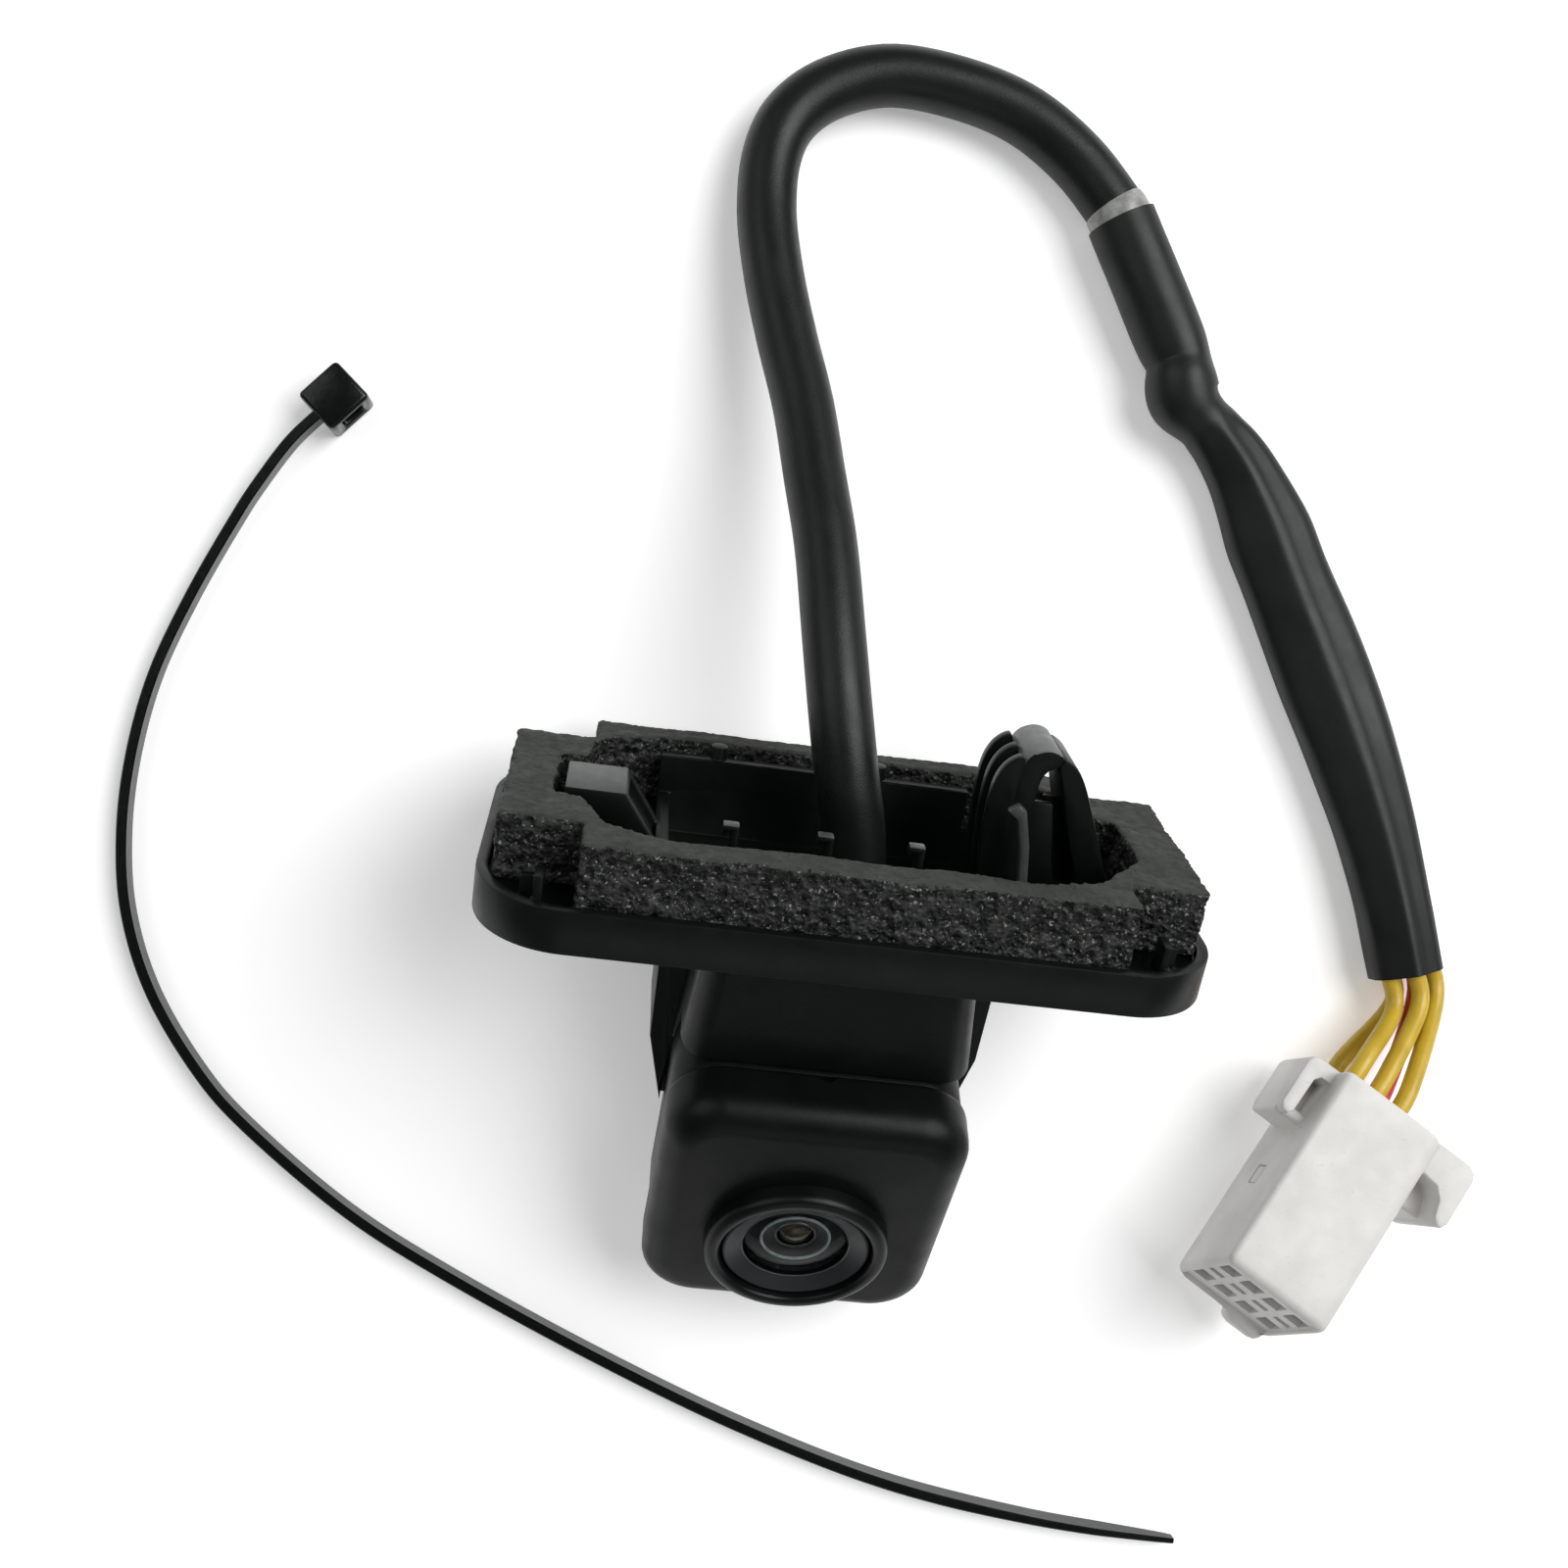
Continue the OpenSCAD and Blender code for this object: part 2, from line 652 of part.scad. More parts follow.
// The strap stands on edge; it leaves the head at mid height and soon lies down.
module strap() {
  pts = curve_points(tie_route, 3);
  n = len(pts);
  base = [for (i = [0:n - 1]) (tie_head_h - strap_w)/2*max(0, 1 - i/9)];
  shape = [for (i = [0:n - 1]) let (
    t = tangent(pts, i),
    s = [-t[1], t[0], 0]*strap_t/2*(i > n - 6 ? 0.62 : 1),
    low = [0, 0, base[i] + (i > n - 4 ? 0.5 : 0)],
    high = [0, 0, base[i] + strap_w - (i > n - 4 ? 0.5 : 0)]
  ) each [pts[i] + s + low, pts[i] - s + low, pts[i] - s + high, pts[i] + s + high]];
  walls = [for (i = [0:n - 2], k = [0:3])
    [i*4 + k, i*4 + (k + 1)%4, (i + 1)*4 + (k + 1)%4, (i + 1)*4 + k]];
  polyhedron(shape, concat(walls, [[3, 2, 1, 0], [for (k = [0:3]) (n - 1)*4 + k]]),
    convexity = 8);
}

module cable_tie() {
  color(black) {
    strap();
    in_tie_head() difference() {
      translate([-0.4, -2.3, 0]) cube([tie_head_l, 4.6, tie_head_h]);
      translate([0.9, -4, (tie_head_h - slot_h)/2]) cube([2.6, 8, slot_h]);
    }
  }
}

module tie_pawl() {
  color(black) in_tie_head() translate([0, 0, (tie_head_h - 2.3)/2]) linear_extrude(2.3)
    polygon([[2.4, -1.9], [3.4, -1.9], [3.3, -1.2], [2.9, -0.2], [2.4, 1.2], [1.9, 1.5], [2, 0.6]]);
}

bezel_plate();
snap_leg();
foam_gasket();
rear_case();
front_cover();
case_seal();
case_screws();
bracket_screws();
lens_barrel();
front_lens();
lens_spacer();
middle_lens();
rear_lens();
filter_glass();
barrel_seal();
image_sensor();
sensor_board();
main_board();
board_link();
board_parts();
cable_grommet();
camera_cable();
tape_edge();
upper_sleeve();
lower_sleeve();
wire_1();
wire_2();
wire_3();
wire_4();
wire_red();
plug_housing();
plug_retainer();
plug_lock();
plug_terminals();
cable_tie();
tie_pawl();
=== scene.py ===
"""Looks for the reversing camera kit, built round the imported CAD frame.

Lengths in the tables below are millimetres; they become metres in make().
"""

import math

import bmesh
import bpy
import numpy as np
from mathutils import Matrix, Vector, noise


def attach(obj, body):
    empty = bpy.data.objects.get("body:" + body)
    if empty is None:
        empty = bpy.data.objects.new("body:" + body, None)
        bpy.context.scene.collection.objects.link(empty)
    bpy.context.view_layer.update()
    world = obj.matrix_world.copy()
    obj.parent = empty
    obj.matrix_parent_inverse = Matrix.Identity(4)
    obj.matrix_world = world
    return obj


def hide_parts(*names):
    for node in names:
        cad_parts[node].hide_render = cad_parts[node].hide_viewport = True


MM = 0.001
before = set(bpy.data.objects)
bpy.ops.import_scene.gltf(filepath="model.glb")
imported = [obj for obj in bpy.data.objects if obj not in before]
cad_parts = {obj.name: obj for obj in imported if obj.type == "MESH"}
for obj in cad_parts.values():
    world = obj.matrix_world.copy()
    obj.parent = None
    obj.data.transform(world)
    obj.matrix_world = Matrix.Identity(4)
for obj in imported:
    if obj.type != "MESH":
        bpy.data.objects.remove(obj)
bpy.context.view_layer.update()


# ---- Placement, the same numbers as the CAD source --------------------------

def rot(axis, degrees):
    return Matrix.Rotation(math.radians(degrees), 4, axis)


KIT = Vector((13.365, 21.24, 0))
LEAN = 68.5
HEADING = -7
BEZEL_W = 35.5
PLATE_LOW = -10.6
FOAM_T = 7
REST_Z = BEZEL_W/2*math.sin(math.radians(LEAN)) - PLATE_LOW*math.cos(math.radians(LEAN))
CAMERA = (Matrix.Translation(KIT + Vector((4.5, -2.1, REST_Z)))
          @ rot("Z", HEADING) @ rot("X", -LEAN))
HEAD = CAMERA @ Matrix.Translation((0, -16, -42.5)) @ rot("X", 180 - 71.5)
PLUG_W, PLUG_L, PLUG_H = 12.9, 25.5, 14.2
PLUG_LIFT = PLUG_W/2*math.sin(math.radians(8))*math.cos(math.radians(10))
PLUG = (Matrix.Translation(KIT + Vector((64.7, -37.6, PLUG_LIFT)))
        @ rot("Z", 141) @ rot("X", 10) @ rot("Y", 8))
WORLD = Matrix.Identity(4)


# ---- Camera ------------------------------------------------------------------

def add_camera():
    data = bpy.data.cameras.new("camera")
    data.sensor_width = 36
    data.lens = 38.25
    data.clip_start = 0.01
    cam = bpy.data.objects.new("camera", data)
    bpy.context.scene.collection.objects.link(cam)
    ahead = Vector((0.109, -0.0136, -0.994)).normalized()
    right = Vector((0.994, 0, 0.109))
    right = (right - ahead*right.dot(ahead)).normalized()
    up = right.cross(ahead)
    turn = Matrix((right, up, -ahead)).transposed().to_4x4()
    cam.matrix_world = Matrix.Translation(Vector((-6.9, 23.7, 184.5))*MM) @ turn
    bpy.context.scene.camera = cam


add_camera()


# ---- Materials ---------------------------------------------------------------

class Shader:
    """A Principled material with short ways to add procedural detail."""

    def __init__(self, name, **sockets):
        self.mat = bpy.data.materials.new(name)
        self.mat.use_nodes = True
        self.tree = self.mat.node_tree
        self.bsdf = self.tree.nodes["Principled BSDF"]
        self.where = self.add("ShaderNodeTexCoord").outputs["Object"]
        for key, value in sockets.items():
            self.bsdf.inputs[key.replace("_", " ")].default_value = value

    def add(self, kind, **settings):
        node = self.tree.nodes.new(kind)
        for key, value in settings.items():
            setattr(node, key, value)
        return node

    def link(self, a, b):
        self.tree.links.new(a, b)

    def noise(self, size, detail=3.0, rough=0.5, stretch=None, distortion=0.0):
        """Noise whose features are about `size` millimetres."""
        node = self.add("ShaderNodeTexNoise")
        node.inputs["Scale"].default_value = 1/(size*MM)
        node.inputs["Detail"].default_value = detail
        node.inputs["Roughness"].default_value = rough
        node.inputs["Distortion"].default_value = distortion
        source = self.where
        if stretch:
            mapping = self.add("ShaderNodeMapping")
            mapping.inputs["Rotation"].default_value = stretch[1]
            mapping.inputs["Scale"].default_value = stretch[0]
            self.link(self.where, mapping.inputs["Vector"])
            source = mapping.outputs["Vector"]
        self.link(source, node.inputs["Vector"])
        return node.outputs["Fac"]

    def cells(self, size, feature="F1", randomness=1.0):
        node = self.add("ShaderNodeTexVoronoi", feature=feature)
        node.inputs["Scale"].default_value = 1/(size*MM)
        node.inputs["Randomness"].default_value = randomness
        self.link(self.where, node.inputs["Vector"])
        return node.outputs["Distance"]

    def ramp(self, value, stops):
        node = self.add("ShaderNodeValToRGB")
        points = node.color_ramp.elements
        while len(points) < len(stops):
            points.new(0.5)
        for point, (place, colour) in zip(points, stops):
            point.position = place
            point.color = (*colour, 1)
        self.link(value, node.inputs["Fac"])
        return node.outputs["Color"]

    def span(self, value, low, high, start=0.3, end=0.7):
        """value from start..end becomes low..high."""
        node = self.add("ShaderNodeMapRange")
        node.inputs["From Min"].default_value = start
        node.inputs["From Max"].default_value = end
        node.inputs["To Min"].default_value = low
        node.inputs["To Max"].default_value = high
        self.link(value, node.inputs["Value"])
        return node.outputs["Result"]

    def maths(self, how, a, b):
        node = self.add("ShaderNodeMath", operation=how)
        for socket, value in zip(node.inputs, (a, b)):
            if isinstance(value, (int, float)):
                socket.default_value = value
            else:
                self.link(value, socket)
        return node.outputs["Value"]

    def mix(self, share, a, b):
        node = self.add("ShaderNodeMix", data_type="RGBA")
        self.link(share, node.inputs["Factor"])
        for socket, value in zip((node.inputs[6], node.inputs[7]), (a, b)):
            if isinstance(value, tuple):
                socket.default_value = (*value, 1)
            else:
                self.link(value, socket)
        return node.outputs[2]

    def bump(self, height, depth, strength=1.0, after=None):
        """A bump `depth` millimetres deep."""
        node = self.add("ShaderNodeBump")
        node.inputs["Strength"].default_value = strength
        node.inputs["Distance"].default_value = depth*MM
        self.link(height, node.inputs["Height"])
        if after:
            self.link(after, node.inputs["Normal"])
        return node.outputs["Normal"]

    def colour(self, output):
        self.link(output, self.bsdf.inputs["Base Color"])

    def roughness(self, output):
        self.link(output, self.bsdf.inputs["Roughness"])

    def normal(self, output):
        self.link(output, self.bsdf.inputs["Normal"])


def moulded(name, dark, light, rough, grain=0.22, depth=0.012, patch=9.0, **sockets):
    """Moulded plastic or rubber: patchy colour, patchy gloss, a fine moulded grain."""
    s = Shader(name, **sockets)
    s.colour(s.ramp(s.noise(patch, 4), [(0.32, dark), (0.68, light)]))
    s.roughness(s.span(s.noise(patch*0.4, 5, 0.6), *rough))
    soft = s.bump(s.noise(patch*0.3, 2), depth*3, 0.4)
    s.normal(s.bump(s.noise(grain, 2, 0.6), depth, 1.0, soft))
    return s.mat


def foam_cells():
    s = Shader("foam_cells", Specular_IOR_Level=0.3)
    wide = s.cells(1.15)
    fine = s.cells(0.5)
    pores = s.maths("ADD", s.span(wide, 0, 0.65, 0.12, 0.7), s.span(fine, 0, 0.35, 0.1, 0.7))
    # Sparse light flecks in the base colour: painted glints on the cell walls.
    painted_glints = s.span(s.noise(0.42, 2, 0.75), 0, 1, 0.62, 0.67)
    # Darker in the pore hollows, lighter on the walls between: painted shade in the pores.
    pore_shade = s.ramp(pores, [(0.15, (0.0022, 0.0028, 0.0026)), (0.6, (0.0065, 0.0075, 0.007)),
                           (0.95, (0.028, 0.03, 0.028))])
    s.colour(s.mix(painted_glints, pore_shade, (0.2, 0.205, 0.19)))
    s.roughness(s.span(s.noise(0.5, 2), 0.35, 0.75))
    s.normal(s.bump(pores, 0.34, 1.0))
    return s.mat


def foam_skin():
    s = Shader("foam_skin", Specular_IOR_Level=0.35)
    tone = s.ramp(s.noise(2.6, 6, 0.65), [(0.3, (0.022, 0.0245, 0.022)), (0.7, (0.046, 0.05, 0.045))])
    pits = s.span(s.cells(0.7), 0, 1, 0.05, 0.3)
    # Darker colour in the pits: painted shade.
    s.colour(s.mix(pits, (0.018, 0.019, 0.017), tone))
    s.roughness(s.span(s.noise(1.2, 4), 0.6, 0.9))
    s.normal(s.bump(s.noise(0.45, 4, 0.7), 0.09, 1.0, s.bump(pits, 0.08, 0.7)))
    return s.mat


def nylon_white():
    s = Shader("plug_nylon", Specular_IOR_Level=0.35)
    body = s.ramp(s.noise(5, 4), [(0.3, (0.64, 0.625, 0.6)), (0.7, (0.73, 0.72, 0.7))])
    streak = s.noise(1.4, 5, 0.7, stretch=((1.0, 3.0, 1.0), (0, 0, math.radians(-50))))
    scuff = s.span(streak, 0, 0.75, 0.62, 0.72)
    s.colour(s.mix(scuff, body, (0.54, 0.52, 0.485)))
    s.roughness(s.span(s.noise(2.2, 5), 0.36, 0.58))
    s.normal(s.bump(s.noise(0.35, 3), 0.012, 1.0, s.bump(streak, 0.02, 0.5)))
    return s.mat


def wire_skin(name, dark, light):
    s = Shader(name, Specular_IOR_Level=0.5, Subsurface_Weight=0.08, Subsurface_Scale=0.001)
    s.colour(s.ramp(s.noise(3.2, 4), [(0.3, dark), (0.7, light)]))
    s.roughness(s.span(s.noise(1.1, 4), 0.28, 0.46))
    s.normal(s.bump(s.noise(0.7, 3), 0.02, 1.0))
    return s.mat


def glass(name, tint, rough=0.02, **sockets):
    s = Shader(name, Transmission_Weight=1.0, **{"IOR": 1.52, **sockets})
    s.colour(s.ramp(s.noise(6, 2), [(0.3, tint), (0.7, tuple(min(1, c*1.06) for c in tint))]))
    s.roughness(s.span(s.noise(2.5, 3), rough, rough + 0.02))
    return s.mat


def metal(name, dark, light, rough):
    s = Shader(name, Metallic=1.0)
    s.colour(s.ramp(s.noise(1.2, 5), [(0.3, dark), (0.7, light)]))
    s.roughness(s.span(s.noise(0.5, 4), *rough))
    s.normal(s.bump(s.noise(0.12, 3), 0.004, 1.0))
    return s.mat


BLACK = ((0.0018, 0.0026, 0.0024), (0.003, 0.0042, 0.0039))
MAT = {
    "bezel_plastic": moulded("bezel_plastic", (0.0024, 0.0035, 0.0033), (0.0042, 0.0058, 0.0055),
                             (0.3, 0.44), Specular_IOR_Level=0.2),
    # bezel_painted_sheen: a lighter copy of the bezel plastic, a painted sheen standing for the floor's
    # reflection on upward faces
    "bezel_painted_sheen": moulded("bezel_painted_sheen", (0.085, 0.09, 0.087), (0.14, 0.148, 0.143), (0.34, 0.5), patch=4),
    # bezel_painted_reflection: a lighter grey of the bezel plastic, a painted reflection on hook tops, post
    # tips and the clip bracket
    "bezel_painted_reflection": moulded("bezel_painted_reflection", (0.035, 0.038, 0.037), (0.06, 0.065, 0.063), (0.34, 0.5), patch=4),
    "head_plastic": moulded("head_plastic", *BLACK, (0.32, 0.44), grain=0.16, Specular_IOR_Level=0.15),
    "cable_rubber": moulded("cable_rubber", (0.0036, 0.0046, 0.0044), (0.006, 0.0074, 0.007), (0.34, 0.46),
                            depth=0.02, Specular_IOR_Level=0.3),
    "sleeve_plastic": moulded("sleeve_plastic", (0.0045, 0.0056, 0.0054), (0.008, 0.0096, 0.0092),
                              (0.38, 0.5), grain=0.45, depth=0.012, patch=12, Specular_IOR_Level=0.32),
    "tape_white": moulded("tape_white", (0.2, 0.2, 0.195), (0.36, 0.36, 0.35), (0.2, 0.4), patch=1.2),
    "tie_nylon": moulded("tie_nylon", (0.0018, 0.0026, 0.0024), (0.003, 0.004, 0.0038), (0.18, 0.28),
                         grain=0.6, depth=0.01, patch=4, Specular_IOR_Level=0.3),
    "lens_ring": moulded("lens_ring", *BLACK, (0.28, 0.4), grain=0.14, Specular_IOR_Level=0.2),
    "lens_cone": moulded("lens_cone", (0.009, 0.011, 0.0125), (0.015, 0.0175, 0.0195), (0.3, 0.42),
                         grain=0.14, Specular_IOR_Level=0.3),
    # lens_rim_painted_glint: mid grey for thin lips on the cone and round the inner lens, a painted glint
    "lens_rim_painted_glint": moulded("lens_rim_painted_glint", (0.04, 0.044, 0.046), (0.07, 0.075, 0.078), (0.25, 0.4), patch=1),
    "lens_black": moulded("lens_black", (0.0014, 0.002, 0.0018), (0.0026, 0.0036, 0.0032), (0.3, 0.4),
                          patch=3, depth=0.001, Specular_IOR_Level=0.05),
    "lens_brown": moulded("lens_brown", (0.008, 0.006, 0.005), (0.02, 0.014, 0.01), (0.3, 0.45), patch=2,
                          Specular_IOR_Level=0.2),
    "lens_amber": moulded("lens_amber", (0.004, 0.004, 0.006), (0.09, 0.055, 0.02), (0.05, 0.1), patch=1.3,
                          grain=1.0, depth=0.001, Specular_IOR_Level=0.35),
    # lens_edge_painted_glint: light grey for the thin lip ring round the inner lens, a painted glint
    "lens_edge_painted_glint": moulded("lens_edge_painted_glint", (0.26, 0.27, 0.26), (0.42, 0.42, 0.4), (0.2, 0.35), patch=1.0),
    "seal_rubber": moulded("seal_rubber", (0.1, 0.03, 0.025), (0.16, 0.05, 0.04), (0.5, 0.7)),
    "board_green": moulded("board_green", (0.01, 0.06, 0.02), (0.02, 0.1, 0.035), (0.3, 0.5), patch=2),
    "chip_black": moulded("chip_black", (0.01, 0.01, 0.012), (0.02, 0.02, 0.022), (0.4, 0.6), patch=2),
    "link_plastic": moulded("link_plastic", (0.6, 0.58, 0.52), (0.7, 0.68, 0.62), (0.4, 0.6), patch=2),
    "screw_steel": metal("screw_steel", (0.42, 0.42, 0.43), (0.58, 0.58, 0.59), (0.25, 0.45)),
    "terminal_metal": metal("terminal_metal", (0.6, 0.5, 0.28), (0.75, 0.65, 0.4), (0.2, 0.4)),
    "gasket_foam": foam_skin(),
    "foam_cells": foam_cells(),
    "plug_nylon": nylon_white(),
    # way_painted_shade: dark grey for the plates set inside the ways, painted shade for the slots' depth
    "way_painted_shade": moulded("way_painted_shade", (0.1, 0.095, 0.085), (0.16, 0.152, 0.138), (0.5, 0.7), patch=1),
    "wire_yellow": wire_skin("wire_yellow", (0.5, 0.33, 0.02), (0.62, 0.43, 0.035)),
    "wire_red": wire_skin("wire_red", (0.42, 0.03, 0.02), (0.55, 0.05, 0.03)),
    "lens_glass": glass("lens_glass", (0.78, 0.84, 0.85), IOR=1.1),
    "filter_glass": glass("filter_glass", (0.6, 0.85, 0.85)),
}


# ---- Mesh helpers --------------------------------------------------------------

def link_object(name, mesh):
    obj = bpy.data.objects.new(name, mesh)
    bpy.context.scene.collection.objects.link(obj)
    return obj


def bake(obj):
    """Applies an object's modifiers."""
    shown = obj.evaluated_get(bpy.context.evaluated_depsgraph_get())
    mesh = bpy.data.meshes.new_from_object(shown)
    obj.modifiers.clear()
    obj.data = mesh
    return obj


def smooth(obj, degrees=32):
    mesh = obj.data
    mesh.polygons.foreach_set("use_smooth", [True]*len(mesh.polygons))
    mesh.set_sharp_from_angle(angle=math.radians(degrees))
    mesh.update()


def bevel(obj, width, segments=2, degrees=38):
    mod = obj.modifiers.new("bevel", "BEVEL")
    mod.width = width*MM
    mod.segments = segments
    mod.limit_method = "ANGLE"
    mod.angle_limit = math.radians(degrees)
    mod.use_clamp_overlap = False
    mod.harden_normals = False
    return bake(obj)


def make(name, place, points, faces, materials=(), tags=None):
    """A mesh from points in millimetres in the frame `place`."""
    mesh = bpy.data.meshes.new(name)
    mesh.from_pydata([MM*(place @ Vector(p)) for p in points], [], faces)
    for m in materials:
        mesh.materials.append(MAT[m])
    if tags:
        mesh.polygons.foreach_set("material_index", tags)
    mesh.validate()
    bm = bmesh.new()
    bm.from_mesh(mesh)
    bmesh.ops.recalc_face_normals(bm, faces=bm.faces)
    bm.to_mesh(mesh)
    bm.free()
    return link_object(name, mesh)


def settle(obj, body, slot, *nodes):
    """Rides the piece on its body, gives it the slot's material when it has none, and hides the CAD nodes
    it stands for.
    """
    if not obj.data.materials:
        obj.data.materials.append(MAT[slot])
    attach(obj, body)
    if nodes:
        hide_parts(*nodes)
    return obj


def copy_of(node, name):
    """A clean copy of a CAD node's mesh: merged points, flat faces joined."""
    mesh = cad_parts[node].data.copy()
    mesh.materials.clear()
    if "custom_normal" in mesh.attributes:
        mesh.attributes.remove(mesh.attributes["custom_normal"])
    bm = bmesh.new()
    bm.from_mesh(mesh)
    bmesh.ops.remove_doubles(bm, verts=bm.verts, dist=2e-6)
    bmesh.ops.dissolve_limit(bm, angle_limit=math.radians(0.6), verts=bm.verts, edges=bm.edges)
    bm.to_mesh(mesh)
    bm.free()
    return link_object(name, mesh)


def softened(node, body, slot, width, segments=2, degrees=38):
    obj = bevel(copy_of(node, node + "_look"), width, segments, degrees)
    smooth(obj)
    return settle(obj, body, slot, node)


# ---- Curves --------------------------------------------------------------------

def curve(points, u):
    """A smooth curve through the points, u from 0 to len - 1, as in the CAD source."""
    n = len(points) - 1
    i = min(int(math.floor(u)), n - 1)
    t = u - i
    a, b, c, d = (points[max(i - 1, 0)], points[i], points[i + 1], points[min(i + 2, n)])
    return 0.5*(2*b + (c - a)*t + (2*a - 5*b + 4*c - d)*t*t + (3*b - a - 3*c + d)*t*t*t)


def along(points, per):
    return [curve(points, i/per) for i in range((len(points) - 1)*per + 1)]


def sweep_rings(points, shape):
    """Rings round a line; shape(i) gives its ring as (across, up) in millimetres."""
    rings = []
    for i, p in enumerate(points):
        t = (points[min(i + 1, len(points) - 1)] - points[max(i - 1, 0)]).normalized()
        side = t.cross(Vector((0, 0, 1))).normalized()
        up = side.cross(t)
        rings.append([p + side*x + up*z for x, z in shape(i)])
    return rings


def tube(rings, closed_ends=True, base=0):
    """Points and quads of a tube through the rings."""
    n = len(rings[0])
    points = [p for ring in rings for p in ring]
    faces = []
    for i in range(len(rings) - 1):
        low, high = base + i*n, base + (i + 1)*n
        faces += [(low + k, low + (k + 1) % n, high + (k + 1) % n, high + k) for k in range(n)]
    if closed_ends:
        faces.append(tuple(base + k for k in range(n)))
        faces.append(tuple(base + (len(rings) - 1)*n + k for k in range(n)))
    return points, faces


def circle_shape(radius, sides):
    angles = [2*math.pi*k/sides for k in range(sides)]
    ring = [(radius*math.cos(a), radius*math.sin(a)) for a in angles]
    return lambda i: ring


# ---- Cable, sleeves, wires -------------------------------------------------------

def kit(points):
    return [Vector(p) + KIT for p in points]


BOSS = (1.6, 0.5)
CABLE_ROUTE = [CAMERA @ Vector((*BOSS, z)) for z in (-23.4, -15, -9)] + kit([
    (5, -4.7, 18.2), (4.2, 0.5, 19.5), (3.5, 7, 19.8), (3, 15, 18.4), (2.6, 24.4, 15.4),
    (1.8, 32, 12.6), (0.9, 40, 9.9), (-0.6, 47.6, 7.7), (-1.8, 54.8, 5.9), (-2.4, 62, 4.4),
    (-1.7, 68.4, 3.6), (0.6, 72.9, 3.3), (5.2, 76.1, 3.25), (11.8, 77.6, 3.25),
    (20, 76.3, 3.25), (26.7, 73.6, 3.3), (32.4, 69, 3.5), (36.4, 63.9, 3.8)])
UPPER_ROUTE = kit([(37.2, 62.5, 3.9), (40.4, 55, 3.9), (43, 49, 3.9), (43.8, 47, 3.9),
                   (44, 44.8, 4.1), (44.5, 42.6, 4.2), (46, 41, 4)])
UPPER_W = [7.6, 7.7, 7.7, 7.1, 7.9, 8, 6]
UPPER_H = [7.6, 7.7, 7.7, 7.3, 8, 7.6, 6]
LOWER_ROUTE = kit([(46, 41, 4), (47.8, 39.4, 3.9), (51, 35.6, 3.6), (54, 29.4, 3.5),
                   (56.6, 23, 3.5), (61.4, 11.6, 3.5), (65, 2, 3.6), (67.5, -6.4, 3.7),
                   (69.3, -14, 3.9), (70.8, -21.6, 4)])
LOWER_W = [6, 6.2, 8, 9.4, 9.9, 10.6, 9.9, 8.8, 8.2, 8]
LOWER_H = [6, 6, 6.4, 6.6, 6.6, 6.6, 6.8, 7, 7.2, 7.2]
CABLE_R = 3.25
CORE_R = 2.6
WIRE_R = 1.0
WIRE_HOLE_R = 1.25
PITCH = 2.9
WAYS = [((i - 1.5)*PITCH, z) for z in (4, 10.2) for i in range(4)]
WIRE_ENDS = [((2.6, 0.9), 7), ((0.1, 2), 6), ((-2.5, 0.6), 5), ((1.4, -1.8), 3), ((-1.4, -1.9), 1)]
MOUTH = LOWER_ROUTE[-1]
MOUTH_DIR = (MOUTH - LOWER_ROUTE[-2]).normalized()
MOUTH_SIDE = MOUTH_DIR.cross(Vector((0, 0, 1))).normalized()


def plug_point(x, y, z):
    return PLUG @ Vector((x, y, z))


def values(table, per):
    return [v.x for v in along([Vector((t, 0, 0)) for t in table], per)]


def build_cord():
    """The jacket, its core inside the sleeves, and the wires, as one run."""
    jacket = along(CABLE_ROUTE, 6)
    core = along(UPPER_ROUTE, 6) + along(LOWER_ROUTE, 6)[1:-4]
    points, faces, tags = [], [], []

    def join(rings, tag):
        p, f = tube(rings, True, len(points))
        points.extend(p)
        faces.extend(f)
        tags.extend([tag]*len(f))

    join(sweep_rings(jacket + UPPER_ROUTE[:1], circle_shape(CABLE_R, 40)), 0)
    join(sweep_rings(core, circle_shape(CORE_R, 20)), 0)
    for i, ((across, up), way) in enumerate(WIRE_ENDS):
        x, z = WAYS[way]
        start = MOUTH + MOUTH_SIDE*across + Vector((0, 0, up))
        path = [start - MOUTH_DIR*6, start - MOUTH_DIR*2, start + MOUTH_DIR*3.4,
                plug_point(x, -3.6, z), plug_point(x, 0.9, z)]
        join(sweep_rings(along(path, 8), circle_shape(WIRE_R, 20)), 2 if i == 4 else 1)
    obj = make("cable_run", WORLD, points, faces, ("cable_rubber", "wire_yellow", "wire_red"), tags)
    smooth(obj, 50)
    settle(obj, "camera", "cable_rubber", "camera_cable",
           "wire_1", "wire_2", "wire_3", "wire_4", "wire_red")
    line = jacket + along(UPPER_ROUTE, 6) + along(LOWER_ROUTE, 6)[1:]
    line += [plug_point(1.6, -3.6, 7.4), plug_point(1.6, 0.5, 7.4)]
    return obj, [p*MM for p in line]


def build_tape():
    gap = UPPER_ROUTE[0] - CABLE_ROUTE[-1]
    stops = ((-0.15, 3.27), (0, 3.42), (0.45, 3.5), (1, 3.5), (1.6, 3.45))
    radii = [r for t, r in stops]
    rings = sweep_rings([CABLE_ROUTE[-1] + gap*t for t, r in stops],
                        lambda i: circle_shape(radii[i], 40)(i))
    obj = make("tape_edge_look", WORLD, *tube(rings))
    smooth(obj, 40)
    return settle(obj, "camera", "tape_white", "tape_edge")


